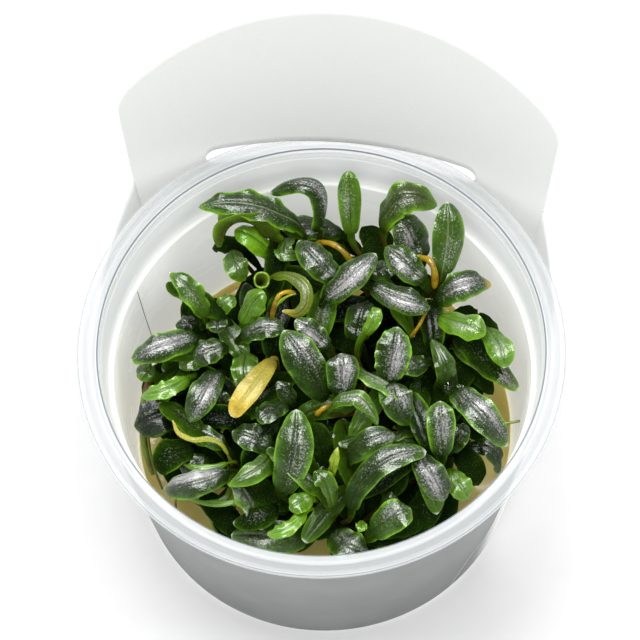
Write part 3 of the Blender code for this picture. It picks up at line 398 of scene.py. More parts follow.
# Roots and bare leaf stalks that the picture shows on their own: start, middle and end, and
# width. A root thins towards its end.
ROOT_RUNS = (
    ((-29.0, -0.5, 30), (-30.1, -7.7, 26), (-28.4, -13.2, 17), 1.5),
    ((-28.0, -4.1, 31), (-28.9, -10.0, 25), (-26.5, -15.5, 16), 0.6),
    ((-20.5, -16.0, 25), (-17.9, -21.4, 21.5), (-12.5, -23.5, 17), 0.7),
    ((-21.5, -17.8, 27), (-18.6, -21.7, 26), (-12.5, -21.6, 26), 0.8),
    ((-19.0, -18.5, 21), (-16.0, -23.5, 17), (-13.5, -26.5, 14), 0.6),
    ((-22.5, -16.0, 22), (-23.5, -19.5, 18), (-20.5, -23.5, 13.5), 0.5),
    ((26.0, -4.6, 31), (29.5, -5.3, 32), (33.4, -4.4, 32), 0.7),
)
STALK_RUNS = (
    ((-3.6, 24.6, 34), (0.2, 22.4, 38.3), (3.6, 19.8, 36), 1.1),
    ((13.0, 21.4, 37.0), (16.5, 20.0, 39.7), (17.4, 16.2, 37.3), 1.3),
    ((14.0, 8.8, 33), (15.6, 10.3, 36), (16.6, 13.6, 36.5), 0.7),
    ((-5.6, 12.6, 38.5), (-8.4, 11.4, 39.6), (-9.3, 8.2, 35.5), 0.9),
    ((-19.4, -9.6, 32.5), (-18.1, -7.4, 34.2), (-17.2, -5.4, 33), 1.1),
    ((-0.4, -6.8, 33), (0.9, -5.9, 34.3), (2.8, -4.4, 33.0), 1.0),
)

# Where the water beads stand: leaf, share along its blade, place across it, and width
BEADS = (
    ("right_g1", 0.55, 0.2, 0.9), ("right_g1", 0.8, -0.3, 0.6), ("right_big", 0.05, 0.3, 1.1),
    ("dark_v", 0.1, -0.2, 0.8), ("sheen_3", 0.3, 0.4, 0.5), ("edge_v", 0.95, 0.0, 0.6),
    ("oval", 0.1, 0.2, 0.7), ("grey_l", 0.7, -0.3, 0.5), ("tall", 0.35, 0.3, 0.5),
)
BEAD_FLATNESS = 0.62
BEAD_RISE = 0.12                # its middle's height over the leaf, as a share of its width

# Colours
LEAF_DARK = "#081105"
LEAF_GREEN = "#28560b"
LEAF_EDGE = "#8abf20"
LEAF_YOUNG = "#70ac0c"
# Painted sheen: the grey-lilac bloom on the leaves
LEAF_BLOOM_SHEEN = "#d3cdd3"
LEAF_CELL = "#6f9a4c"
LEAF_RIB = "#8da572"
# Painted shade on the leaves, and the dark midrib line
LEAF_SHADE_AND_RIB = "#0e1a0a"
LEAF_TIP = "#dfe6d8"
LEAF_UNDER = "#3c4a18"
LEAF_YELLOW = "#d6bb4a"
LEAF_BROWN = "#94561a"
STALK_OLIVE = "#4a4a1a"
STALK_OCHRE = "#d6ae1c"
BARK = "#7c3f14"
BARK_GREEN = "#4c5a1c"
ROOT_GREEN = "#7d9a2e"
ROOT_BROWN = "#6b4518"
CUP_WHITE = "#f2f3f1"
CUP_CLEAR = "#e3e6e6"
# The grey of the painted shade lines on the cup
CUP_SHADE_GREY = "#7f8993"
CARD_WHITE = "#ecedec"
CARD_GREY = "#747977"
GEL_CREAM = "#e8dc90"
GEL_SPECK = "#6d4a1e"
FLOOR_WHITE = "#e8e8e8"
WHITE = "#ffffff"


def linear(text):
    """A colour written as sRGB hex, turned to the linear numbers a shader takes."""
    values = [int(text[i:i + 2], 16) / 255 for i in (1, 3, 5)]
    return tuple(v / 12.92 if v <= 0.04045 else ((v + 0.055) / 1.055) ** 2.4 for v in values)


# Settings that a user would change

def tint(name, description, code):
    """A setting for a colour, with its sRGB hex as the default."""
    return bpy.props.FloatVectorProperty(name=name, description=description, subtype="COLOR",
                                         size=3, min=0, max=1, default=linear(code))


def length(name, description, default, lowest=0.1):
    """A setting for a small length; the default and the lowest are in millimetres."""
    return bpy.props.FloatProperty(name=name, description=description, unit="LENGTH",
                                   min=lowest * MM, max=MM, default=default * MM)


def number(name, description, default, highest=1.0, subtype="NONE"):
    """A setting for a number from 0 up."""
    return bpy.props.FloatProperty(name=name, description=description, subtype=subtype, min=0,
                                   max=highest, default=default)


def power(name, description, default):
    """A setting for a lamp's power."""
    return number(name, description, default, 200.0, "POWER")


class CupSettings(bpy.types.PropertyGroup):
    colour: tint("Plastic", "Colour of the cup's translucent plastic", CUP_WHITE)
    milk: number("Milkiness", "How much of the light the cup's wall holds back", 0.75,
                 subtype="FACTOR")
    clearness: number("Flange", "How much of the light the cup's flange holds back", 0.38,
                      subtype="FACTOR")
    glow: number("Glow", "Light that the wall takes in outside and gives off inside", 0.33)
    steps: bpy.props.IntProperty(
        name="Steps", description="Steps round the cup and the gel", min=48, max=400, default=240)


class CardSettings(bpy.types.PropertyGroup):
    paper: tint("Paper", "Colour of the card's unprinted white", CARD_WHITE)
    print_colour: tint("Print", "Colour of the plain grey print round the band", CARD_GREY)
    thickness: length("Thickness", "Thickness of the card", CARD)


class GelSettings(bpy.types.PropertyGroup):
    colour: tint("Gel", "Colour of the nutrient gel", GEL_CREAM)
    ripple: length("Ripple", "Height of the unevenness of the gel's top", 0.15, 0.0)


class LeafSettings(bpy.types.PropertyGroup):
    dark: tint("Grown leaf", "Colour of a grown leaf", LEAF_DARK)
    young: tint("Young leaf", "Colour of a young leaf", LEAF_YOUNG)
    # The bloom is painted sheen
    bloom_sheen: tint("Bloom", "Colour of the metallic bloom on the grown leaves", LEAF_BLOOM_SHEEN)
    thickness: length("Thickness", "Thickness of a blade at its midrib", LEAF_THICKNESS)
    ripple: number("Ripple", "Scale of the ripples of the blades' margins", 1.0, 2.0)


class RootSettings(bpy.types.PropertyGroup):
    count: bpy.props.IntProperty(
        name="Roots", description="Roots of each rhizome", min=0, max=20, default=7)
    thickness: length("Thickness", "Thickness of a root", 0.38)


class StageSettings(bpy.types.PropertyGroup):
    key: power("Key light", "Power of the large light behind and above", 2.4)
    fill: power("Fill light", "Power of the large light in front", 3.0)
    gloss: power("Gloss light", "Power of the large light that only shines are seen by", 30.0)
    side: power("Side lights", "Power of each of the two large lights at the sides", 3.5)
    surround: number("Surround", "Brightness of the white room all round", 0.85, 4.0)


# Surfaces

def through(start, middle, end, t):
    """A quadratic curve that passes through its middle point at half way."""
    start, middle, end = np.array([start, middle, end], float)
    control = 2 * middle - (start + end) / 2
    t = np.asarray(t, float)[:, None]
    return (1 - t) ** 2 * start + 2 * t * (1 - t) * control + t ** 2 * end


def round_through(start, middle, end, t):
    """The circle's arc through three points."""
    ahead, onward = middle - start, end - start
    across = np.cross(ahead, onward)
    centre = start + (np.cross(across, ahead) * onward.dot(onward)
                      + np.cross(onward, across) * ahead.dot(ahead)) / (2 * across.dot(across))
    radius = np.linalg.norm(start - centre)
    first = (start - centre) / radius
    second = np.cross(unit(across), first)
    last = math.atan2((end - centre).dot(second), (end - centre).dot(first)) % TAU
    angle = last * np.asarray(t, float)[:, None]
    return centre + radius * (np.cos(angle) * first + np.sin(angle) * second)


def winding(points):
    """A curve that takes a share of its length and runs smoothly through all the points."""
    path = rounded(points, 12)
    reached = np.concatenate([[0.0], np.linalg.norm(np.diff(path, axis=0), axis=1).cumsum()])

    def curve(start, middle, end, t):
        spots = np.asarray(t, float) * reached[-1]
        found = np.stack([np.interp(spots, reached, path[:, k]) for k in range(3)], axis=-1)
        past = np.clip(spots - reached[-1], 0, None)[:, None]
        return found + past * unit(path[-1] - path[-2])
    return curve


def smooth(low, high, value):
    """0 below low, 1 above high, and 3x^2 - 2x^3 of the share in between."""
    share = np.clip((np.asarray(value, float) - low) / (high - low), 0, 1)
    return share * share * (3 - 2 * share)


def unit(vectors):
    """The same directions at length 1."""
    return vectors / np.linalg.norm(vectors, axis=-1, keepdims=True)


def rounded(profile, per_span=3):
    """A profile's points with more set between them on a Catmull-Rom curve.

    Each span between two points is the cubic whose slope at a point is half the step
    from the point before to the point after. The first and last point stay.
    """
    points = np.array(profile, float)
    padded = np.concatenate([points[:1], points, points[-1:]])
    t = np.linspace(0, 1, per_span, endpoint=False)[None, :, None]
    a, b, c, d = (padded[i:len(points) - 1 + i, None, :] for i in range(4))
    spans = 0.5 * (2 * b + (c - a) * t + (2 * a - 5 * b + 4 * c - d) * t ** 2
                   + (3 * b - a - 3 * c + d) * t ** 3)
    return np.concatenate([spans.reshape(-1, points.shape[1]), points[-1:]])


def revolve(profile, steps):
    """Carry a profile of (radius, height) round the Z axis: x = r cos a, y = r sin a."""
    angles = np.linspace(0, TAU, steps, endpoint=False)
    radius, height = profile[:, 0, None], profile[:, 1, None]
    return np.stack([radius * np.cos(angles), radius * np.sin(angles),
                     height + 0 * angles], axis=-1)


def tube(path, radius, sides=8, lean=(0.37, 0.61, 0.7)):
    """Rings of points round a path, in a frame that stands off the leaning direction.

    The radius is one for each ring, or one for each point.
    """
    tangents = unit(np.gradient(path, axis=0))
    side = unit(np.cross(tangents, np.array(lean)))
    other = np.cross(tangents, side)
    angle = np.linspace(0, TAU, sides, endpoint=False)[None, :, None]
    around = np.cos(angle) * side[:, None, :] + np.sin(angle) * other[:, None, :]
    return path[:, None, :] + np.reshape(radius, (len(path), -1, 1)) * around


class Patchwork:
    """Grids of points joined into one mesh, with named values carried at the points."""

    def __init__(self):
        self.points, self.quads, self.fans, self.values = [], [], [], []
        self.count = 0

    def add(self, grid, closed=True, **values):
        """Add a grid of rows by columns by 3.

        A closed one joins its last column to its first, and its first and its last row
        each to one more point in their middle.
        """
        rows, columns = grid.shape[:2]
        index = self.count + np.arange(rows * columns).reshape(rows, columns)
        right, left = index[:, 1:], index[:, :-1]
        ends, fans = (), np.zeros((0, 3), int)
        if closed:
            right, left, ends = np.roll(index, -1, axis=1), index, (0, -1)
            middle = np.full(columns, index[-1, -1] + 1)
            fans = np.concatenate([np.stack([left[0], middle, right[0]], axis=-1),
                                   np.stack([right[-1], middle + 1, left[-1]], axis=-1)])
        quads = np.stack([left[:-1], right[:-1], right[1:], left[1:]], axis=-1)
        values = {key: np.broadcast_to(value, (rows, columns)) for key, value in values.items()}
        self.points.append(np.concatenate(
            [grid.reshape(-1, 3)] + [grid[row].mean(axis=0)[None] for row in ends]))
        self.values.append({key: np.append(value, [value[row].mean() for row in ends])
                            for key, value in values.items()})
        self.quads.append(quads.reshape(-1, 4))
        self.fans.append(fans)
        self.count += len(self.points[-1])

    def mesh(self, name, weld=False):
        """The mesh of all grids so far, each value as an attribute of its points.

        weld joins points that stand in the same place to within a thousandth of a
        millimetre, where one grid's edge runs along another's.
        """
        points, quads, fans = map(np.concatenate, (self.points, self.quads, self.fans))
        values = {key: np.concatenate([part[key] for part in self.values])
                  for key in self.values[0]}
        if weld:
            spots = np.round(points / (0.001 * MM)).astype(np.int64)
            kept, target = np.unique(spots, axis=0, return_index=True, return_inverse=True)[1:]
            points, quads, fans = points[kept], target.ravel()[quads], target.ravel()[fans]
            values = {key: value[kept] for key, value in values.items()}
        mesh = bpy.data.meshes.new(name)
        mesh.from_pydata(points.tolist(), [], quads.tolist() + fans.tolist())
        mesh.polygons.foreach_set("use_smooth", np.ones(len(mesh.polygons), bool))
        for key, value in values.items():
            attribute = mesh.attributes.new(key, "FLOAT", "POINT")
            attribute.data.foreach_set("value", value.astype(np.float32))
        mesh.update()
        return mesh


def place(name, work, finishes, slot, *nodes, weld=False):
    """Put a finished patchwork in the scene as a piece that rides on the one body."""
    mesh = work.mesh(name, weld)
    piece = bpy.data.objects.new(name, mesh)
    bpy.context.scene.collection.objects.link(piece)
    for finish in finishes:
        mesh.materials.append(finish)
    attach(piece, "root")
    if nodes:
        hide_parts(*nodes)
    return piece


# Materials

# What the leaf material reads at each point of a leaf
LEAF_VALUES = ("young", "sheen", "warm", "under", "margin", "flank", "stalk", "ochre",
               "across", "along", "seed", "shade", "drop", "line", "rib")

# The nodes in use: type, settings, the inputs that values are fed to in turn, and the output
NODES = {
    "place": ("ShaderNodeTexCoord", {}, (), "Object"),
    "carried": ("ShaderNodeAttribute", {}, (), "Fac"),
    "parts": ("ShaderNodeCombineXYZ", {}, ("X", "Y", "Z"), 0),
    "stretch": ("ShaderNodeMapping", {}, ("Vector", "Scale"), 0),
    "noise": ("ShaderNodeTexNoise", {}, ("Vector", "Scale", "Detail", "Roughness"), "Fac"),
    "specks": ("ShaderNodeTexVoronoi", {}, ("Vector", "Scale"), "Distance"),
    "range": ("ShaderNodeMapRange", {}, (0, 1, 2, 3, 4), 0),
    "mix": ("ShaderNodeMix", {"data_type": "RGBA"}, (0, 6, 7), 2),
    "plus": ("ShaderNodeMath", {"operation": "ADD"}, (0, 1), 0),
    "minus": ("ShaderNodeMath", {"operation": "SUBTRACT"}, (0, 1), 0),
    "times": ("ShaderNodeMath", {"operation": "MULTIPLY"}, (0, 1), 0),
    "power": ("ShaderNodeMath", {"operation": "POWER"}, (0, 1), 0),
    "bump": ("ShaderNodeBump", {}, ("Strength", "Distance", "Height"), 0),
    "material": ("ShaderNodeOutputMaterial", {}, ("Surface",), None),
    "camera_ray": ("ShaderNodeLightPath", {}, (), "Is Camera Ray"),
    "glossy_ray": ("ShaderNodeLightPath", {}, (), "Is Glossy Ray"),
    "background": ("ShaderNodeBackground", {}, ("Color", "Strength"), 0),
    "either": ("ShaderNodeMixShader", {}, (0, 1, 2), 0),
    "world": ("ShaderNodeOutputWorld", {}, ("Surface",), None),
}


def feed(tree, socket, value):
    """Give an input another node's output, a number, or a colour in hex or in linear."""
    if isinstance(value, bpy.types.NodeSocket):
        tree.links.new(value, socket)
    elif socket.type == "RGBA":
        socket.default_value = (*(linear(value) if isinstance(value, str) else value), 1.0)
    else:
        socket.default_value = value


def add_node(tree, kind, *values, **settings):
    """Add a node that NODES names, with its settings, and feed it; the output comes back."""
    full_name, fixed, inputs, output = NODES[kind]
    node = tree.nodes.new(full_name)
    for key, value in {**fixed, **settings}.items():
        setattr(node, key, value)
    for key, value in zip(inputs, values):
        feed(tree, node.inputs[key], value)
    return None if output is None else node.outputs[output]


def begin(name):
    """A material without nodes, and add_node for its tree."""
    made = bpy.data.materials.new(name)
    made.use_nodes = True
    made.node_tree.nodes.clear()
    return made, partial(add_node, made.node_tree)


def finished(made, values):
    """Give a material its Principled shader, with the shader's inputs fed by name."""
    shader = made.node_tree.nodes.new("ShaderNodeBsdfPrincipled")
    for key, value in values.items():
        feed(made.node_tree, shader.inputs[key], value)
    add_node(made.node_tree, "material", shader.outputs[0])
    return made


def darker(colour, share):
    """A linear colour with each part multiplied."""
    return tuple(share * part for part in colour)


def leaf_cuticle(settings):
    """Leaf: a waxy, wet cuticle over dark green tissue, with pale pin-point cells.

    It gives the eye a dark green blade with a thin brighter margin, fibres that run along
    it, and a grey-lilac metallic bloom, which is painted sheen, that breaks up into fine
    dots where it fades out. Painted shade darkens the leaves deep in the plant, and each
    leaf towards its foot.
    """
    made, add = begin("leaf_cuticle")
    (young, sheen, warm, under, margin, flank, stalk, ochre, across, along, seed, shade, drop,
     line, rib) = (add("carried", attribute_name=name) for name in LEAF_VALUES)
    # Cells 0.28 mm apart, the finest that the picture shows, and blotches of 2.5 mm
    speckle = add("noise", add("place"), 1 / (0.28 * MM), 1.0)
    blotch = add("noise", add("place"), 1 / (2.5 * MM), 3.0)
    # Fibres: a blade is 2 wide and 1 long here, so they are 0.2 mm wide and 4 mm long
    on_leaf = add("stretch", add("parts", across, along, seed), (12.0, 2.2, 1.0))
    fibres = add("noise", on_leaf, 1.0, 3.0, 0.6)

    # Tissue: dark in the middle, fresher to the sides, and bright all over where it is young
    fresh = add("times", flank, add("range", blotch, 0.38, 0.68))
    dark = add("mix", fresh, settings.dark, LEAF_GREEN)
    dark = add("mix", add("range", fibres, 0.5, 0.75, 0.0, 0.1), dark, LEAF_GREEN)
    bright = add("mix", add("range", blotch, 0.3, 0.7), settings.young, LEAF_EDGE)
    bright = add("mix", add("range", fibres, 0.45, 0.7, 0.0, 0.6), bright, LEAF_GREEN)
    tissue = add("mix", young, dark, bright)
    outer = add("range", blotch, 0.38, 0.62, 0.1, 0.75)
    outer = add("times", add("power", flank, 3.0), outer)
    tissue = add("mix", outer, tissue, settings.young)
    rim = add("times", margin, add("range", blotch, 0.35, 0.6, 0.3, 1.0))
    tissue = add("mix", rim, tissue, LEAF_EDGE)
    ripe = add("mix", add("range", blotch, 0.5, 0.85, 0.0, 0.8), LEAF_YELLOW, LEAF_BROWN)
    ripe = add("mix", add("range", speckle, 0.5, 0.62, 0.0, 0.3), ripe, LEAF_BROWN)
    tissue = add("mix", warm, tissue, ripe)
    tissue = add("mix", add("times", under, 0.5), tissue, LEAF_UNDER)
    petiole = add("mix", ochre, STALK_OLIVE, STALK_OCHRE)
    petiole = add("mix", add("range", fibres, 0.45, 0.65, 0.0, 0.45), petiole, BARK_GREEN)
    petiole = add("mix", add("range", blotch, 0.5, 0.62, 0.0, 0.75), petiole, BARK)
    tissue = add("mix", stalk, tissue, petiole)

    # Painted sheen (the bloom), pin-point cells and the midrib's line over it, and then the painted
    # shade
    bloom_sheen = add("times", sheen, add("range", fibres, 0.36, 0.54, 0.5, 1.0))
    bloom_sheen = add("plus", bloom_sheen, add("range", speckle, 0.3, 0.7, -0.33, 0.33))
    bloom_sheen = add("minus", bloom_sheen, add("times", shade, 0.3))
    colour = add("mix", add("range", bloom_sheen, 0.3, 1.08, 0.0, 0.8), tissue, settings.bloom_sheen)
    cells = add("range", blotch, 0.4, 0.7, 0.08, 0.3)
    cells = add("times", add("range", speckle, 0.54, 0.66), cells)
    colour = add("mix", cells, colour, LEAF_CELL)
    seen = add("times", line, add("range", fibres, 0.35, 0.6, 0.25, 0.8))
    colour = add("mix", seen, colour, add("mix", rib, LEAF_SHADE_AND_RIB, LEAF_RIB))
    colour = add("mix", add("times", shade, 0.85), colour, LEAF_SHADE_AND_RIB)
    colour = add("mix", add("times", drop, 0.8), colour, LEAF_TIP)

    # Less of the cuticle's shine, and of the film of water over it, low in the painted shade
    dull = add("plus", shade, add("times", warm, 0.25))
    dots = add("range", speckle, 0.44, 0.6)
    film = add("range", dull, 0.0, 0.25, 0.8, 0.0)
    film = add("times", film, add("range", dots, 0.0, 1.0, 0.35, 1.0))
    relief = add("bump", 0.6, 0.14 * MM, add("plus", speckle, add("times", blotch, 1.2)))
    return finished(made, {
        "Base Color": colour, "Roughness": add("range", dots, 0.0, 1.0, 0.3, 0.14), "IOR": 1.45,
        "Specular IOR Level": add("range", dull, 0.0, 0.4, 0.5, 0.0), "Coat Weight": film,
        "Coat Roughness": 0.1, "Coat IOR": 1.33, "Normal": relief, "Coat Normal": relief})


def rhizome_bark():
    """Rhizome: a smooth creeping stem, orange brown where old and green where it grows."""
    made, add = begin("rhizome_bark")
    patch = add("noise", add("place"), 1 / (1.6 * MM), 4.0)
    grain = add("noise", add("place"), 1 / (0.3 * MM), 2.0)
    colour = add("mix", add("range", patch, 0.42, 0.68), BARK, BARK_GREEN)
    colour = add("mix", add("range", grain, 0.5, 0.9, 0.0, 0.5), colour, STALK_OCHRE)
    return finished(made, {"Base Color": colour, "Roughness": 0.38,
                           "Normal": add("bump", 0.4, 0.1 * MM, grain)})


def root_skin():
    """Root: a thin soft thread, green where light reaches it and brown in the gel."""
    made, add = begin("root_skin")
    patch = add("noise", add("place"), 1 / (5 * MM), 2.0)
    colour = add("mix", add("range", patch, 0.4, 0.62), ROOT_GREEN, ROOT_BROWN)
    return finished(made, {"Base Color": colour, "Roughness": 0.42})


def cup_plastic(name, colour, hold, glow):
    """Cup: polypropylene, thin and injection moulded, clear but milky.

    It gives the eye a pale wall that shows what stands behind it softly, with a satin
    shine and a fine flow texture that runs round the cup. The faint glow stands for the
    light that the milky wall takes in outside and gives off inside.
    """
    made, add = begin(name)
    flow = add("stretch", add("place"), (0.35, 0.35, 1.6))
    cloud = add("noise", flow, 1 / (6 * MM), 3.0)
    milky = add("mix", add("range", cloud, 0.3, 0.7), colour, darker(colour, 0.96))
    # The line value paints shade into the plastic, towards the dark grey
    return finished(made, {
        "Base Color": add("mix", add("carried", attribute_name="line"), milky, CUP_SHADE_GREY),
        "Roughness": add("range", cloud, 0.3, 0.7, 0.2, 0.3), "Alpha": hold, "IOR": 1.49,
        "Specular IOR Level": 0.22, "Emission Color": colour, "Emission Strength": glow,
        "Normal": add("bump", 0.012, 0.1 * MM, add("noise", flow, 1 / (0.8 * MM), 2.0))})


def printed_card(settings):
    """Card: coated folding boxboard with a plain grey print on the outside of the band.

    It gives the eye a satin grey band that is a little darker towards the foot. Where the
    mesh says bare, at the end of the short arm, it shows the smooth white board with its
    faint fibre grain.
    """
    made, add = begin("coated_boxboard")
    fibre = add("noise", add("stretch", add("place"), (1.0, 1.0, 0.3)), 1 / (0.5 * MM), 4.0)
    mottle = add("noise", add("place"), 1 / (9 * MM), 2.0)
    paper = add("mix", add("range", fibre, 0.3, 0.7, 0.0, 0.25), settings.paper,
                darker(settings.paper, 0.9))
    height = add("carried", attribute_name="height")
    grey = add("mix", add("range", height, 0.1, 0.6), darker(settings.print_colour, 0.72),
               settings.print_colour)
    grey = add("mix", add("range", mottle, 0.35, 0.65, 0.0, 0.03), grey, WHITE)
    return finished(made, {
        "Base Color": add("mix", add("carried", attribute_name="bare"), grey, paper),
        "Roughness": 0.42, "Normal": add("bump", 0.12, 0.05 * MM, fibre)})


def white_card(settings):
    """Card: the unprinted side and the cut edges of the same boxboard, matt and white."""
    made, add = begin("white_boxboard")
    fibre = add("noise", add("place"), 1 / (0.5 * MM), 4.0)
    paper = add("mix", add("range", fibre, 0.3, 0.7, 0.0, 0.3), settings.paper,
                darker(settings.paper, 0.92))
    return finished(made, {"Base Color": paper, "Roughness": 0.6,
                           "Normal": add("bump", 0.15, 0.05 * MM, fibre)})


def nutrient_gel(settings):
    """Gel: agar with nutrients, cloudy cream, wet on top, with brown specks in it."""
    made, add = begin("nutrient_agar")
    specks = add("specks", add("place"), 1 / (5.5 * MM))
    cloud = add("noise", add("place"), 1 / (7 * MM), 3.0)
    colour = add("mix", add("range", cloud, 0.35, 0.7, 0.0, 0.5), settings.colour,
                 tuple(part * part for part in settings.colour))
    colour = add("mix", add("range", specks, 0.05, 0.12, 1.0, 0.0), colour, GEL_SPECK)
    return finished(made, {
        "Base Color": colour, "Roughness": 0.12, "IOR": 1.335, "Subsurface Weight": 0.5,
        "Subsurface Radius": (1.0, 0.8, 0.45), "Subsurface Scale": 3 * MM,
        "Normal": add("bump", 0.3, 0.3 * MM, cloud)})


def clear_water():
    """Water: beads left on the leaves, clear, that catch one bright point of light."""
    return finished(begin("water")[0], {
        "Base Color": WHITE, "Roughness": 0.0, "IOR": 1.33, "Transmission Weight": 1.0})


def white_paper():
    """Floor: a sheet of matt white paper."""
    made, add = begin("matt_white_paper")
    grain = add("noise", add("place"), 1 / (5 * MM), 3.0)
    colour = add("mix", add("range", grain, 0.3, 0.7), FLOOR_WHITE,
                 darker(linear(FLOOR_WHITE), 0.985))
    return finished(made, {"Base Color": colour, "Roughness": 0.9})


# The cup and the gel

def build_cup(settings):
    """The cup's profile carried round the Z axis, closed at the middle of its floor.

    The profile's points are joined by a smooth curve on the outside and on the inside,
    and its two ends meet at the flange's lip. The flange has a clearer plastic than the
    wall. Painted shade gives the flange thin dark lines where its lip and its edge turn the
    light away and a dark band on its top, and darkens the wall's upper end. A fine upright
    line of painted shade runs down the inside of the wall.
    """
    profile = np.concatenate([rounded(CUP_INSIDE)[1:], rounded(CUP_OUTSIDE)[:-1]])
    ring = revolve(profile * MM, settings.steps)[:, ::-1]
    radius, height = np.hypot(ring[..., 0], ring[..., 1]) / MM, ring[..., 2] / MM
    # Painted shade: a dark band on the flange's top and a darker upper end of the wall
    top = smooth(36.7, 36.9, radius) * (1 - smooth(39.4, 39.6, radius))
    top = (height > EDGE_FOOT) * FLANGE_TOP_SHADE * top * (1 - np.exp(-((radius - 37.7) / 0.2) ** 2))
    wall = (radius < 36.4) * (height < EDGE_FOOT) * UPPER_WALL_SHADE * smooth(37.2, 39.5, height)
    work = Patchwork()
    work.add(ring, line=top + wall)
    milky = cup_plastic("milky_polypropylene", tuple(settings.colour), settings.milk,
                        settings.glow)
    clear = cup_plastic("clear_polypropylene", linear(CUP_CLEAR), settings.clearness, 0.0)
    # The material of the cup's painted shade lines
    dark = cup_plastic("painted_shade_line", linear(CUP_SHADE_GREY), 1.0, 0.0)
    mesh = place("growing_cup", work, [milky, clear, dark], "tub", "cup").data
    middles = np.zeros(3 * len(mesh.polygons))
    mesh.polygons.foreach_get("center", middles)
    x, y, z = middles.reshape(-1, 3).T / MM
    index = (z > FLANGE_FOOT).astype(np.int32)
    # Painted shade: thin dark lines at the lip and at the edge
    for (at, half_width), foot in ((LIP_SHADE_LINE, LIP_FOOT), (EDGE_SHADE_LINE, EDGE_FOOT)):
        index[(np.abs(np.hypot(x, y) - at) < half_width) & (z > foot)] = 2
    mesh.polygons.foreach_set("material_index", index)

    # A fine upright line of painted shade down the inside of the wall
    height = np.linspace(*WALL_SHADE_LINE_HEIGHTS, 12)
    radius = np.interp(height, *np.array(INNER_WALL).T[::-1])
    path = np.stack([radius * math.cos(WALL_SHADE_LINE), radius * math.sin(WALL_SHADE_LINE), height], axis=-1)
    work = Patchwork()
    work.add(tube(path, 0 * height + WALL_SHADE_LINE_RADIUS) * MM)
    return place("wall_shade_line", work, [dark], "tub")


def build_gel(settings, steps):
    """The gel's profile carried round the Z axis, with low waves over its top.

    The waves are three crossed sines, 9 to 23 mm long, and fade out at the wall.
    """
    ring = revolve(rounded(GEL_PROFILE)[1:-1] * MM, steps)[:, ::-1]
    x, y, z = ring[..., 0], ring[..., 1], ring[..., 2]
    waves = (np.sin(270 * x + 90 * y) + np.sin(-330 * y + 180 * x + 1.3)
             + np.sin(690 * x + 410 * y + 0.4)) / 3
    top = smooth(9 * MM, 12 * MM, z) * (1 - smooth(27 * MM, 31 * MM, np.hypot(x, y)))
    ring[..., 2] = z + settings.ripple * waves * top
    work = Patchwork()
    work.add(ring)
    return place("gel_block", work, [nutrient_gel(settings)], "gel", "gel")


# The card sleeve

def arc_point(angle):
    """Points of the band's circle in plan, from the right to the front, and their normals."""
    normal = np.stack([np.cos(angle), -np.sin(angle)], axis=-1)
    return CARD_RADIUS * normal, normal


def back_point(along):
    """Points of the back panel in plan at the rim's height, and their outward normals."""
    angle = np.asarray(along, float) / BACK_RADIUS
    point = np.stack([BACK_RADIUS * np.sin(angle),
                      CARD_RADIUS - BACK_RADIUS * (1 - np.cos(angle))], axis=-1)
    return point, np.stack([np.sin(angle), np.cos(angle)], axis=-1)


def side_point(share, cut):
    """The same for the right side, from the back panel's end to the band's cut.

    Up to CURVE_SHARE it is a quadratic curve from the panel's corner, drawn towards the
    bulge, to the start of the band's own circle; after that it is the circle.
    """
    share, cut = np.broadcast_arrays(np.asarray(share, float), cut)
    corner, end = back_point(BACK_HALF)[0], arc_point(SIDE_JOIN)[0]
    bulge = np.array(SIDE_BULGE)
    t = np.clip(share / CURVE_SHARE, 0, 1)[..., None]
    curve = (1 - t) ** 2 * corner + 2 * t * (1 - t) * bulge + t * t * end
    slope = (1 - t) * (bulge - corner) + t * (end - bulge)
    curve_normal = unit(np.stack([-slope[..., 1], slope[..., 0]], axis=-1))
    past = (share - CURVE_SHARE) / (1 - CURVE_SHARE)
    circle, circle_normal = arc_point(SIDE_JOIN + past * (cut - SIDE_JOIN))
    on_curve = (share < CURVE_SHARE)[..., None]
    return (np.where(on_curve, curve, circle), np.where(on_curve, curve_normal, circle_normal))


def lean_out(point, normal, height):
    """Plan points at the rim's height moved to their places on the leaning card."""
    height = np.broadcast_to(height, np.broadcast_shapes(height.shape, point.shape[:-1]))
    above = height - RIM_HEIGHT
    lean = np.where(above > 0, math.tan(HEADER_LEAN), math.tan(CARD_LEAN))
    moved = point + normal * (above * lean)[..., None]
    return np.concatenate([moved, height[..., None]], axis=-1)


def header_top(along):
    """The header's top edge: a wide arc with a round corner at each end."""
    sag = HEADER_TOP_RADIUS - np.sqrt(HEADER_TOP_RADIUS ** 2 - along ** 2)
    into = np.clip(np.abs(along) - (BACK_HALF - HEADER_CORNER), 0, HEADER_CORNER)
    sag += HEADER_CORNER - np.sqrt(HEADER_CORNER ** 2 - into ** 2)
    return RIM_HEIGHT + HEADER_RISE - sag


def slot_edge(along, side):
    """The slot's upper (side 1) or lower (-1) edge: a straight run with half-round ends.

    Outside the slot both are the same line, which falls to the band's top at the
    panel's end.
    """
    middle = (SLOT_HIGH + SLOT_LOW) / 2
    past = np.clip(np.abs(along) - (SLOT_HALF - SLOT_RADIUS), 0, SLOT_RADIUS)
    line = middle + (BAND_HEIGHTS[-1] - middle) * smooth(SLOT_HALF, BACK_HALF, np.abs(along))
    return line + side * np.sqrt(SLOT_RADIUS ** 2 - past ** 2)


def card_columns():
    """Where the back panel's columns stand: close together at its corners and the slot's ends."""
    def towards(end, radius, count):
        return end - radius * (1 - np.sin(np.linspace(0, np.pi / 2, count)))
    half = np.unique(np.round(np.concatenate([
        np.linspace(0, SLOT_HALF - SLOT_RADIUS, 19), towards(SLOT_HALF, SLOT_RADIUS, 8),
        np.linspace(SLOT_HALF, BACK_HALF - HEADER_CORNER, 9),
        towards(BACK_HALF, HEADER_CORNER, 9)]), 6))
    return np.concatenate([-half[:0:-1], half])


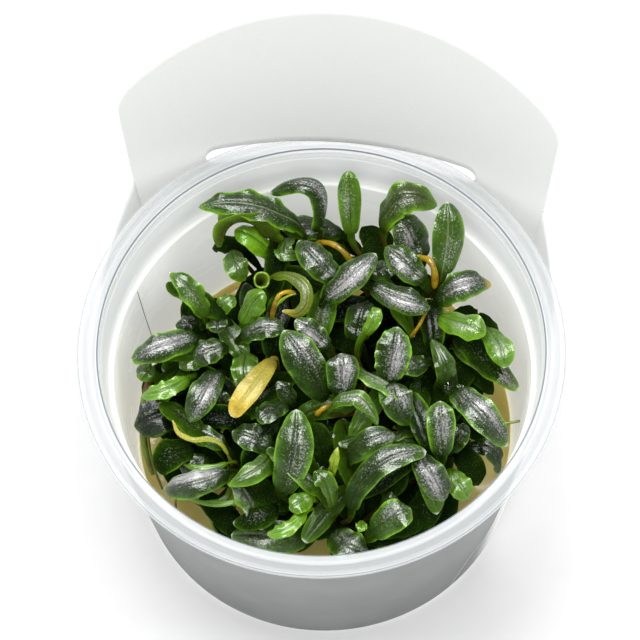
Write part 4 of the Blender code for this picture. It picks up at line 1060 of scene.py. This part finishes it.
def build_sleeve(settings):
    """One sheet of card: the back panel with its slot, the header, and the band.

    Every point is a place along the panel or round the band and a height, put on the
    leaning card. The sheet then gets the card's thickness to both sides.
    """
    work = Patchwork()

    def sheet(point, normal, height, bare=0.0):
        grid = lean_out(point, normal, height)
        work.add(grid * MM, closed=False, height=grid[..., 2] / RIM_HEIGHT, bare=bare)

    along = card_columns()[::-1]
    top, shares = slot_edge(along, 1), np.linspace(0, 1, 25)[:, None]
    foot = BAND_HEIGHTS[0]
    sheet(*back_point(along), foot + shares * (slot_edge(along, -1) - foot))
    sheet(*back_point(along), top + np.linspace(0, 1, 23)[:, None] * (header_top(along) - top))

    height = foot + shares * (BAND_HEIGHTS[-1] - foot)
    cut = np.radians(np.interp(height, BAND_HEIGHTS, BAND_CUTS))
    half_gap = 0.5 * np.interp(height, BAND_HEIGHTS, BAND_CUT_WIDTHS) / CARD_RADIUS
    point, normal = side_point(np.linspace(1, 0, 41)[None, :], cut - half_gap)
    grid = lean_out(point, normal, height)
    round_to = np.degrees(np.arctan2(-grid[..., 1], grid[..., 0]))
    sheet(point, normal, height, 1 - smooth(*BARE_ARM, round_to))

    curve = side_point(np.linspace(0, CURVE_SHARE, 17)[None, :] + 0 * height, SIDE_JOIN)
    ahead = np.linspace(0, 1, 97)[None, 1:] * (math.pi - cut - half_gap - SIDE_JOIN)
    circle = arc_point(SIDE_JOIN + ahead)
    # The long arm is the left side, mirrored from the right, and goes on round the front
    point, normal = (np.concatenate(pair, axis=1) * (-1.0, 1.0) for pair in zip(curve, circle))
    sheet(point, normal, height)
    piece = place("card_sleeve", work, [printed_card(settings), white_card(settings)], "card",
                  "sleeve", weld=True)
    shell = piece.modifiers.new("Thickness", "SOLIDIFY")
    shell.thickness = settings.thickness
    shell.offset = 0.0
    shell.material_offset = shell.material_offset_rim = 1
    return piece


# The plant

def stem_axis(name, shares):
    """A rhizome's axis: a quadratic curve through its three points."""
    return through(*STEMS[name], shares)


def stem_shell(name):
    """A rhizome as rings round its axis.

    The radius falls by STEM_TAPER on the way up, swells a little between the rings left
    by old leaves, 3 mm apart, and closes in a round tip.
    """
    shares = np.linspace(0, 1, 40)
    axis = stem_axis(name, shares)
    span = np.linalg.norm(np.diff(axis, axis=0), axis=1).sum()
    rings = 0.95 + 0.07 * np.abs(np.sin(np.pi * shares * span / 3.0))
    ends = np.sqrt(np.clip(1 - np.clip((shares - 0.94) / 0.06, 0, 1) ** 2, 0.02, 1))
    radius = STEM_RADIUS * (1 - STEM_TAPER * shares) * rings * ends
    angle = np.linspace(0, TAU, 18, endpoint=False)
    lumps = 1 + 0.05 * np.sin(3 * angle[None, :] + 9 * shares[:, None])
    return tube(axis, radius[:, None] * lumps, 18, (0.3, -1.0, 0.1)) * MM


def carried_normals(rib, tangents, middle, roll):
    """Carry the upward normal of the middle station to both ends without twisting it."""
    normals = np.zeros_like(rib)
    normal = unit(np.array([0.0, 0.0, 1.0]) - tangents[middle, 2] * tangents[middle])
    turn = math.radians(roll)
    normal = normal * math.cos(turn) + np.cross(tangents[middle], normal) * math.sin(turn)
    for stations in (range(middle, len(rib)), range(middle, -1, -1)):
        kept = normal
        for i in stations:
            kept = unit(kept - kept.dot(tangents[i]) * tangents[i])
            normals[i] = kept
    return normals


def leaf_rib(row, clear, stations, curve):
    """A leaf's midrib: a Hermite petiole from the rhizome, then a curve for the blade.

    It comes with the shares of the petiole and of the blade that its stations stand at.
    """
    start, middle, tip = np.array(row[2:5], float)
    axis = stem_axis(row[0], [row[1]])[0]
    base = axis + unit((start - axis) * (1, 1, 0)) * clear
    outward = start - base
    reach = np.linalg.norm(outward)
    outward[2] = PETIOLE_RISE * reach
    outward = unit(outward) * reach
    onward = unit(np.diff(curve(start, middle, tip, (0.0, 0.01)), axis=0)[0]) * reach
    t = np.linspace(0, 1, stations[0] + 1)[:-1, None]
    petiole = ((2 * t ** 3 - 3 * t ** 2 + 1) * base + (t ** 3 - 2 * t ** 2 + t) * outward
               + (3 * t ** 2 - 2 * t ** 3) * start + (t ** 3 - t ** 2) * onward)
    even = np.linspace(0, 1, stations[1])
    s = even - STATION_CROWDING * np.sin(TAU * even) / TAU
    blade = curve(start, middle, tip, BLADE_REACH * s)
    return np.concatenate([petiole, blade]), t[:, 0], s


def half_widths(t, s, width, length, tip):
    """Half of a leaf's width along its petiole (t) and its blade (s).

    The blade grows from a stubby foot to its widest as a superellipse with FOOT_POWER,
    and narrows again as one with the power tip.
    """
    stub = 0.3 + 0.2 * np.clip(2.0 - length / width, 0, 1)
    growing = 1 - (1 - np.clip(s / BLADE_WIDEST, 0, 1)) ** FOOT_POWER
    foot = stub + (1 - stub) * growing ** (1 / FOOT_POWER)
    past = np.clip((s - BLADE_WIDEST) / (1 - BLADE_WIDEST), 0, 1)
    end = np.clip(1 - past ** tip, 0, 1) ** (1 / tip)
    blade = 0.5 * width * np.where(s > BLADE_WIDEST, end, foot)
    petiole = 0.5 * PETIOLE_WIDTH
    return np.concatenate([petiole + (blade[0] - petiole) * smooth(0.55, 1.0, t) ** 1.5, blade])


def leaf_shell(name, row, clear, settings):
    """A leaf as loops of points carried along its midrib, closed at both ends.

    A loop is an ellipse that is round on the petiole and thin on the blade: across it
    v = cos a, from one margin to the other, and the skin stands half the thickness times
    sin a from the middle sheet. Across the blade the sheet is an arc of twice the dome's
    degrees, with a narrow groove along the midrib. Its outer thirds turn up by the square
    of their share times the curl. Its margins ripple as |v|^2.2 times two sines along the
    blade, with another phase and pace on each side, and low waves run slantwise from the
    midrib as the side veins do.
    """
    kind = DEEP if name.startswith("deep_") else SHADED if name.startswith("low_") else {}
    look = {**PLAIN, **kind, **LOOKS.get(name, {}), **(row[6] if len(row) > 6 else {})}
    stations = COARSE if kind is DEEP else FINE
    width = look["slim"] * row[5]
    # Numbers of the leaf's own, so that no two are alike
    seed = sum(ord(letter) * (i + 3) for i, letter in enumerate(name))
    chance = np.modf(seed * np.array([0.618, 0.414, 0.732, 0.236, 0.871]))[0]
    curve = (winding(WINDINGS[name]) if name in WINDINGS
             else round_through if look["round"] else through)
    rib, t, s = leaf_rib(row, clear, stations, curve)

    def column(petiole, blade):
        return np.concatenate([petiole, blade])[:, None]

    tangents = unit(np.gradient(rib, axis=0))
    faces = carried_normals(rib, tangents, stations[0] + stations[1] // 2, look["roll"])
    sides = np.cross(faces, tangents)
    share = column(0 * t, s)
    turn = np.radians(look["twist"] + TWIST_SPREAD * (chance[0] - 0.5))
    turn = turn * (share - 0.5) * (share > 0)
    faces, sides = (faces * np.cos(turn) + sides * np.sin(turn),
                    sides * np.cos(turn) - faces * np.sin(turn))

    length = np.linalg.norm(np.array(row[4], float) - row[2])
    half = half_widths(t, s, width, length, look["tip"])[:, None]
    blade = column(smooth(0.5, 1.1, t) * 0.5, 0.5 + 0.5 * smooth(0, 0.25, s))
    fading = column(0 * t, smooth(0.0, 0.2, s) * (1 - smooth(0.8, 1.0, s)))
    on_blade = column(smooth(0.6, 1.2, t), 0 * s + 1)
    a = np.linspace(0, TAU, stations[2], endpoint=False)[None, :]
    v, skin = np.sign(np.cos(a)) * np.abs(np.cos(a)) ** LOOP_CROWDING, np.sin(a)
    off, along = np.abs(v), share + 0 * v

    thin = 0.5 * settings.thickness / MM * np.sqrt(np.clip(half / (0.25 * width), 0.05, 1))
    body = 0.9 * half * (1 - blade) + thin * blade
    bend = np.radians(look["dome"] + DOME_SPREAD * (chance[1] - 0.5)) * np.clip(blade, 0.05, 1)
    turned = np.clip((off - 0.4) / 0.6, 0, 1) ** 2 * fading * half
    curl = look["curl"] + CURL_SPREAD * (np.where(v > 0, chance[2], chance[3]) - 0.45)
    across = half * np.sin(bend * v) / bend - 0.35 * turned * np.abs(curl) * np.sign(v)
    groove = GROOVE_DEPTH * np.exp(-(v / GROOVE_WIDTH) ** 2) * half * blade
    cross = turned * curl - half * (1 - np.cos(bend * v)) / bend - groove
    phase, pace = seed % 17 * 0.7, look["pace"] or 1.6 + seed % 5 * 0.25
    right = np.sin(TAU * pace * along + phase) + 0.2 * np.sin(TAU * 2.7 * pace * along + 2 * phase)
    left = (np.sin(TAU * (pace + 0.45) * along + 1.9 * phase)
            + 0.2 * np.sin(TAU * 2.3 * pace * along + phase))
    ripple = look["wave"] * settings.ripple * off ** 2.2 * fading * np.where(v > 0, right, left)
    veins = np.sin(TAU * (0.45 * width * along * 2.2 - 0.9 * off) + phase) * fading
    # 2.5 off (1 - off^2) rises to about 1 half way from the midrib to the margin
    veins *= VEIN_HEIGHT * 2.5 * off * (1 - v * v)
    hook = look["hook"] * width * smooth(0.65, 1.0, along) ** 2
    lift = cross + ripple + veins + body * skin - hook
    points = (rib[:, None, :] + across[..., None] * sides[:, None, :]
              + lift[..., None] * faces[:, None, :])

    margin = smooth(0.82, 0.97, off) + 0.6 * smooth(0.94, 1.0, along)
    flank = smooth(0.25, 1.0, off) + 0.6 * smooth(0.75, 1.0, along)
    side = look["side"] or 0.7 * (chance[3] - 0.5)
    # Painted sheen: where along and across the blade's upper side the bloom lies
    bloom_sheen = (np.exp(-((along - look["at"]) / look["spread"]) ** 2)
             * np.exp(-((v - side) / BLOOM_SHEEN_WIDTH) ** 2) * (skin > 0))
    # Painted shade: a deep leaf is darker the lower it stands
    shade = look["shade"] * (1 - 0.5 * smooth(*DEEP_HEIGHTS, row[3][2]) if kind is DEEP else 1)
    return points * MM, {
        "young": look["young"] + 0.25 * smooth(0.85, 1.0, along) * look["edge"],
        "margin": np.clip(margin, 0, 1) * look["edge"] * on_blade,
        "flank": np.clip(flank, 0, 1) * (0.3 + 0.7 * look["edge"]),
        "ochre": look["ochre"],
        "rib": look["rib"],
        "line": (1 - smooth(0.03, 0.09, off)) * on_blade * (1 - smooth(0.8, 0.95, along)),
        # Painted shade, darker towards the blade's foot and on the petiole
        "shade": np.clip(shade + 0.5 * (1 - smooth(-0.1, 0.3, along)), 0, 1),
        "sheen": look["sheen"] * bloom_sheen * on_blade,
        "warm": (look["warm"] * (0.6 + 0.4 * smooth(0.3, 1.0, along))
                 + look["ripe"] * smooth(0.8, 1.0, along)),
        "under": (skin < -0.05) * on_blade,
        "stalk": 1 - column(smooth(0.5, 1.0, t), 0 * s + 1),
        "drop": smooth(0.965, 0.99, along) * (chance[4] > 0.5) * (kind is not DEEP),
        "across": v + 0 * along,
        "along": along,
        "seed": seed % 23 * 3.1,
    }


def rolled_shell(row):
    """A young leaf that is still rolled up: a trumpet with a thin wall and a wavy mouth.

    It is a tube round the blade's curve. The radius grows as t^1.5 from the foot to the
    mouth on the outside, and goes back down inside less the wall.
    """
    t = np.linspace(0, 1, 26)
    path = through(*row[2:5], t)
    radius = 0.4 + (0.43 * row[5] - 0.4) * t ** 1.5
    outside, inside = (tube(path, np.clip(radius - wall, 0.05, None), 32) for wall in (0.0, 0.3))
    grid = np.concatenate([outside, inside[:4:-1]])
    up = np.concatenate([t, t[:4:-1]])[:, None]
    angle = np.linspace(0, TAU, 32, endpoint=False)[None, :]
    mouth = smooth(0.6, 1.0, up) * (np.sin(3 * angle + 1) + 0.5 * np.sin(2 * angle))
    grid = grid + 0.22 * mouth[..., None] * unit(path[-1] - path[-2])
    within = np.arange(len(grid))[:, None] >= len(t)
    # Painted shade darkens the inside of the trumpet towards its foot
    return grid * MM, dict.fromkeys(LEAF_VALUES, 0.0) | {
        "young": 0.5, "warm": 0.15 * within, "margin": smooth(0.93, 1.0, up),
        "under": within * 0.6, "shade": 0.4 * within * (1 - up), "along": up, "seed": 4.0,
        "across": 0.5 * np.sin(angle)}


def build_leaves(settings, finish):
    """Each grown leaf, a piece of its own in the place of its solid."""
    for name, row in LEAVES.items():
        work = Patchwork()
        points, values = leaf_shell(name, row, LEAF_CLEARANCE, settings)
        work.add(points, **values)
        place("blade_" + name, work, [finish], "leaf", "leaf_" + name)


def drawn_place(draw, reach, heights):
    """A place drawn evenly from a disc of a radius, at a height between two."""
    turn, out = draw.uniform(0, TAU), reach * math.sqrt(draw.uniform(0, 1))
    return np.array([out * math.cos(turn), out * math.sin(turn), draw.uniform(*heights)])


def outgrowth(middle, half_length, spin, share):
    """The rhizome nearest to a leaf's middle, and the blade's start and tip.

    The blade points away from the place at a share of the rhizome, turned by the spin.
    """
    places = {stem: stem_axis(stem, [share])[0] for stem in STEMS}
    near = min(STEMS, key=lambda stem: np.hypot(*(places[stem] - middle)[:2]))
    away = math.atan2(*(middle - places[near])[1::-1]) + spin
    step = half_length * np.array([math.cos(away), math.sin(away), 0.0])
    return near, middle - step, middle + step


def over_gel(middle):
    """Whether a place is where the picture shows the gel."""
    return any(math.hypot(middle[0] - x, middle[1] - y) < r for x, y, r in CLEARINGS)


def deep_rows():
    """Rows for the deep leaves, drawn from one seeded list and kept where there is room.

    A leaf grows from the rhizome nearest to its middle, away from it, and rises a little
    to its own middle. Heights count for more than distances in plan between two leaves.
    """
    draw = np.random.default_rng(5)
    taken, rows = [], {}
    for _ in range(DEEP_TRIES):
        middle = drawn_place(draw, DEEP_REACH, DEEP_HEIGHTS)
        spin, half_length = draw.uniform(-1.0, 1.0), draw.uniform(4.0, 5.5)
        width, share = draw.uniform(4.2, 5.6), draw.uniform(0.3, 0.9)
        stem, start, tip = outgrowth(middle, half_length, spin, 0.5)
        if over_gel(middle) or np.hypot(*tip[:2]) > DEEP_TIP_REACH or any(
                np.linalg.norm((middle - other) * (1, 1, 1.6)) < DEEP_SPACING for other in taken):
            continue
        start[2] -= 1.5
        tip[2] -= draw.uniform(0.5, 3.5)
        taken.append(middle)
        rows["deep_%02d" % len(taken)] = (stem, share, start, middle, tip, width)
        if len(taken) == DEEP_COUNT:
            break
    return rows


def mid_rows():
    """Rows for the half-hidden leaves, drawn from one seeded list and kept where they fit.

    Each stands at least MID_UNDER below every top leaf within MID_NEAR, and carries its
    own looks.
    """
    draw = np.random.default_rng(9)
    tops = np.array([row[3] for row in (*LEAVES.values(), *YOUNG.values())], float)
    tops = tops[tops[:, 2] > TOP_HEIGHT]
    taken, rows = [], {}
    for _ in range(MID_TRIES):
        middle = drawn_place(draw, MID_REACH, MID_HEIGHTS)
        spin, half_length = draw.normal(0, 0.6), draw.uniform(4.5, 6.5)
        width, share, roll = draw.uniform(3.4, 5.0), draw.uniform(0.5, 0.95), draw.uniform(-50, 50)
        fall = draw.uniform(-1.0, 3.0)
        # Its looks, with painted shade from 0.1 to 0.55 among them
        look = dict(young=0.4 * draw.uniform(0, 1) ** 2, sheen=draw.uniform(0.1, 0.9),
                    edge=draw.uniform(0.3, 0.9), shade=draw.uniform(0.1, 0.55),
                    tip=draw.uniform(1.6, 2.2), wave=draw.uniform(0.1, 0.45), roll=roll)
        over = tops[np.hypot(*(tops[:, :2] - middle[:2]).T) < MID_NEAR, 2]
        stem, start, tip = outgrowth(middle, half_length, spin, 0.8)
        if (not len(over) or middle[2] > over.min() - MID_UNDER or over_gel(middle)
                or np.hypot(*tip[:2]) > MID_TIP_REACH
                or any(np.linalg.norm(middle - other) < MID_SPACING for other in taken)):
            continue
        start[2] -= 2.0
        tip[2] -= fall
        taken.append(middle)
        rows["mid_%02d" % len(taken)] = (stem, share, start, middle, tip, width, look)
        if len(taken) == MID_COUNT:
            break
    return rows


def build_rhizomes(settings, leaf_finish, bark):
    """Each rhizome with its young and shaded leaves, in the place of its one solid."""
    rows = {**YOUNG, **STRANDS, **mid_rows(), **deep_rows()}
    for stem in STEMS:
        work = Patchwork()
        work.add(stem_shell(stem))
        place("rootstock_" + stem, work, [bark], "rhizome", "rhizome_" + stem)
        work = Patchwork()
        for name, row in rows.items():
            if row[0] == stem:
                points, values = (rolled_shell(row) if name == "ring"
                                  else leaf_shell(name, row, YOUNG_CLEARANCE, settings))
                work.add(points, **values)
        place("young_leaves_" + stem, work, [leaf_finish], "leaf", "rhizome_" + stem)


def build_stalks(finish):
    """Bare leaf stalks: a tube round a quadratic curve, a little thicker at both ends."""
    work = Patchwork()
    t = 0.5 - 0.5 * np.cos(np.linspace(0.08, np.pi - 0.08, 26))
    round_ends = np.sqrt(1 - np.abs(2 * t - 1) ** 12)
    radius = 0.5 * round_ends * (0.85 + 0.8 * (t - 0.5) ** 2 + 0.08 * np.sin(17 * t))
    up = t[:, None]
    # Painted shade darkens both ends
    values = dict.fromkeys(LEAF_VALUES, 0.0) | {
        "stalk": 1.0, "along": up, "ochre": 0.8 + 0.2 * np.sin(7 * up),
        "shade": 0.75 * np.abs(2 * up - 1) ** 1.5}
    for *run, width in STALK_RUNS:
        work.add(tube(through(*run, t), width * radius, 12) * MM, **values)
    return place("leaf_stalks", work, [finish], "leaf")


def build_roots(settings):
    """Roots that leave the lower half of each rhizome, bow out and run down the gel.

    Each is a quadratic curve with a small sine wobble, and thins towards its end.
    """
    draw = np.random.default_rng(11)
    work = Patchwork()
    t = np.linspace(0, 1, 22)
    for stem in STEMS:
        for _ in range(settings.count):
            start = stem_axis(stem, [draw.uniform(0.02, 0.5)])[0]
            turn = draw.uniform(0, TAU)
            reach = draw.uniform(5, 13)
            end = start + np.array([reach * np.cos(turn), reach * np.sin(turn), 0])
            end[:2] *= min(1.0, DEEP_REACH / np.hypot(*end[:2]))
            end[2] = draw.uniform(3, 11)
            middle = (start + end) / 2 + np.array([0, 0, draw.uniform(0.5, 3)])
            path = through(start, middle, end, t)
            path[:, 0] += 0.4 * np.sin(TAU * 1.3 * t + turn) * t
            path[:, 1] += 0.4 * np.cos(TAU * 1.1 * t + turn) * t
            work.add(tube(path, 0.5 * settings.thickness / MM * (1 - 0.5 * t)) * MM)
    for *run, width in ROOT_RUNS:
        work.add(tube(through(*run, t), 0.5 * width * (1 - 0.35 * t)) * MM)
    return place("roots", work, [root_skin()], "rhizome")


def build_beads(settings, finish):
    """Beads of water: a flattened ball on each listed place, sunk a third into the leaf."""
    work = Patchwork()
    latitude = np.linspace(-0.5 * np.pi, 0.5 * np.pi, 14)[1:-1, None]
    longitude = np.linspace(0, TAU, 20, endpoint=False)[None, :]
    ball = np.stack([np.cos(latitude) * np.cos(longitude), np.cos(latitude) * np.sin(longitude),
                     np.sin(latitude) + 0 * longitude], axis=-1)
    stalk, _, loop = FINE
    for name, along, across, width in BEADS:
        points, values = leaf_shell(name, LEAVES[name], LEAF_CLEARANCE, settings)
        row = stalk + int(np.abs(values["along"][stalk:, 0] - along).argmin())
        upper = values["across"][row, :loop // 2 + 1]
        column = int(np.clip(np.abs(upper - across).argmin(), 1, loop // 2 - 1))
        after = min(row + 1, len(points) - 1)
        ahead = unit(points[after, column] - points[row - 1, column])
        beside = unit(points[row, column - 1] - points[row, column + 1])
        up = unit(np.cross(ahead, beside))
        up = up if up[2] > 0 else -up
        basis = np.stack([ahead, np.cross(up, ahead), up * BEAD_FLATNESS])
        size = width * MM
        work.add(points[row, column] + up * BEAD_RISE * size + 0.5 * size * ball @ basis)
    return place("water_beads", work, [finish], "gel")


# The stage

def looking(place_at, target, roll):
    """A matrix that stands at a place and looks at a target, turned about its own view."""
    turned = (Vector(target) - Vector(place_at)).to_track_quat("-Z", "Y").to_matrix().to_4x4()
    return Matrix.Translation(place_at) @ turned @ Matrix.Rotation(roll, 4, "Z")


def build_stage(settings):
    """A white paper floor, five large soft lamps, a bright room and the camera."""
    scene = bpy.context.scene
    scene.view_settings.view_transform = "Standard"
    line = np.linspace(-3.0, 3.0, 13)
    work = Patchwork()
    work.add(np.stack([*np.meshgrid(line, line), np.zeros((13, 13))], axis=-1), closed=False)
    floor = bpy.data.objects.new("studio_floor", work.mesh("studio_floor"))
    floor.data.materials.append(white_paper())
    scene.collection.objects.link(floor)
    # Each lamp: its place, width and power, whether it lights, and whether shines show it
    lamps = {
        "key_lamp": ((-0.15, 0.12, 0.95), 0.36, settings.key, True, True),
        "fill_lamp": ((0.1, -0.85, 0.75), 1.0, settings.fill, True, False),
        "gloss_lamp": ((-0.05, 0.33, 0.92), 1.0, settings.gloss, False, True),
        "left_lamp": ((-0.85, 0.2, 0.6), 0.8, settings.side, True, False),
        "right_lamp": ((0.85, 0.2, 0.6), 0.8, settings.side, True, False),
    }
    for name, (at, size, energy, lights, shines) in lamps.items():
        data = bpy.data.lights.new(name, "AREA")
        data.shape, data.size, data.energy = "DISK", size, energy
        lamp = bpy.data.objects.new(name, data)
        lamp.matrix_world = looking(at, (0.0, 0.0, 0.04), 0.0)
        lamp.visible_diffuse, lamp.visible_glossy = lights, shines
        scene.collection.objects.link(lamp)
    world = bpy.data.worlds.new("white_room")
    world.use_nodes = True
    tree = world.node_tree
    tree.nodes.clear()
    # The room is white to the camera, bright to the surfaces and dim in their shines
    dimmed = add_node(tree, "range", add_node(tree, "glossy_ray"), 0, 1, settings.surround,
                      0.05 * settings.surround)
    room, seen = (add_node(tree, "background", WHITE, strength) for strength in (dimmed, 1.0))
    add_node(tree, "world",
             add_node(tree, "either", add_node(tree, "camera_ray"), room, seen))
    scene.world = world
    camera = bpy.data.cameras.new("camera")
    camera.lens, camera.sensor_width = CAMERA_LENS, 36.0
    camera.clip_start, camera.clip_end = 0.01, 20.0
    eye = bpy.data.objects.new("camera", camera)
    eye.matrix_world = looking(CAMERA_PLACE, CAMERA_TARGET, CAMERA_ROLL)
    scene.collection.objects.link(eye)
    scene.camera = eye


# The add-on

class PlantCupSettings(bpy.types.PropertyGroup):
    cup: bpy.props.PointerProperty(type=CupSettings)
    card: bpy.props.PointerProperty(type=CardSettings)
    gel: bpy.props.PointerProperty(type=GelSettings)
    leaf: bpy.props.PointerProperty(type=LeafSettings)
    root: bpy.props.PointerProperty(type=RootSettings)
    stage: bpy.props.PointerProperty(type=StageSettings)


def leaf_finish(settings):
    """The one leaf material, made the first time that it is asked for."""
    return bpy.data.materials.get("leaf_cuticle") or leaf_cuticle(settings.leaf)


class PLANTCUP_OT_cup(bpy.types.Operator):
    """Build the translucent growing cup"""
    bl_idname = "plant_cup.cup"
    bl_label = "Growing cup"

    def execute(self, context):
        build_cup(context.scene.plant_cup.cup)
        return {"FINISHED"}


class PLANTCUP_OT_card(bpy.types.Operator):
    """Build the card sleeve with its header"""
    bl_idname = "plant_cup.card"
    bl_label = "Card sleeve"

    def execute(self, context):
        build_sleeve(context.scene.plant_cup.card)
        return {"FINISHED"}


class PLANTCUP_OT_gel(bpy.types.Operator):
    """Build the nutrient gel in the foot of the cup"""
    bl_idname = "plant_cup.gel"
    bl_label = "Gel"

    def execute(self, context):
        settings = context.scene.plant_cup
        build_gel(settings.gel, settings.cup.steps)
        return {"FINISHED"}


class PLANTCUP_OT_leaves(bpy.types.Operator):
    """Build the grown leaves"""
    bl_idname = "plant_cup.leaves"
    bl_label = "Grown leaves"

    def execute(self, context):
        settings = context.scene.plant_cup
        build_leaves(settings.leaf, leaf_finish(settings))
        return {"FINISHED"}


class PLANTCUP_OT_rhizomes(bpy.types.Operator):
    """Build the rhizomes with their young leaves"""
    bl_idname = "plant_cup.rhizomes"
    bl_label = "Rhizomes and young leaves"

    def execute(self, context):
        settings = context.scene.plant_cup
        build_rhizomes(settings.leaf, leaf_finish(settings), rhizome_bark())
        return {"FINISHED"}


class PLANTCUP_OT_roots(bpy.types.Operator):
    """Build the roots and the bare leaf stalks"""
    bl_idname = "plant_cup.roots"
    bl_label = "Roots and bare stalks"

    def execute(self, context):
        settings = context.scene.plant_cup
        build_roots(settings.root)
        build_stalks(leaf_finish(settings))
        return {"FINISHED"}


class PLANTCUP_OT_beads(bpy.types.Operator):
    """Build the water beads on the leaves"""
    bl_idname = "plant_cup.beads"
    bl_label = "Water beads"

    def execute(self, context):
        build_beads(context.scene.plant_cup.leaf, clear_water())
        return {"FINISHED"}


class PLANTCUP_OT_stage(bpy.types.Operator):
    """Set up the floor, the lamps, the room and the camera"""
    bl_idname = "plant_cup.stage"
    bl_label = "Stage"

    def execute(self, context):
        build_stage(context.scene.plant_cup.stage)
        return {"FINISHED"}


STEPS = (PLANTCUP_OT_cup, PLANTCUP_OT_card, PLANTCUP_OT_gel, PLANTCUP_OT_leaves,
         PLANTCUP_OT_rhizomes, PLANTCUP_OT_roots, PLANTCUP_OT_beads, PLANTCUP_OT_stage)


class PLANTCUP_PT_panel(bpy.types.Panel):
    """Lists the settings and the steps that build the plant cup"""
    bl_label = "Plant cup"
    bl_idname = "PLANTCUP_PT_panel"
    bl_space_type = "VIEW_3D"
    bl_region_type = "UI"
    bl_category = "Plant cup"

    def draw(self, context):
        for group in PlantCupSettings.__annotations__:
            box = self.layout.box()
            box.label(text=group.capitalize())
            settings = getattr(context.scene.plant_cup, group)
            for key in settings.__annotations__:
                box.prop(settings, key)
        for step in STEPS:
            self.layout.operator(step.bl_idname)


CLASSES = (CupSettings, CardSettings, GelSettings, LeafSettings, RootSettings, StageSettings,
           PlantCupSettings, *STEPS, PLANTCUP_PT_panel)


def register():
    for item in CLASSES:
        bpy.utils.register_class(item)
    bpy.types.Scene.plant_cup = bpy.props.PointerProperty(type=PlantCupSettings)


def unregister():
    del bpy.types.Scene.plant_cup
    for item in reversed(CLASSES):
        bpy.utils.unregister_class(item)


def main():
    """Build every piece and the stage."""
    register()
    for step in STEPS:
        group, name = step.bl_idname.split(".")
        getattr(getattr(bpy.ops, group), name)()


if __name__ == "__main__":
    main()
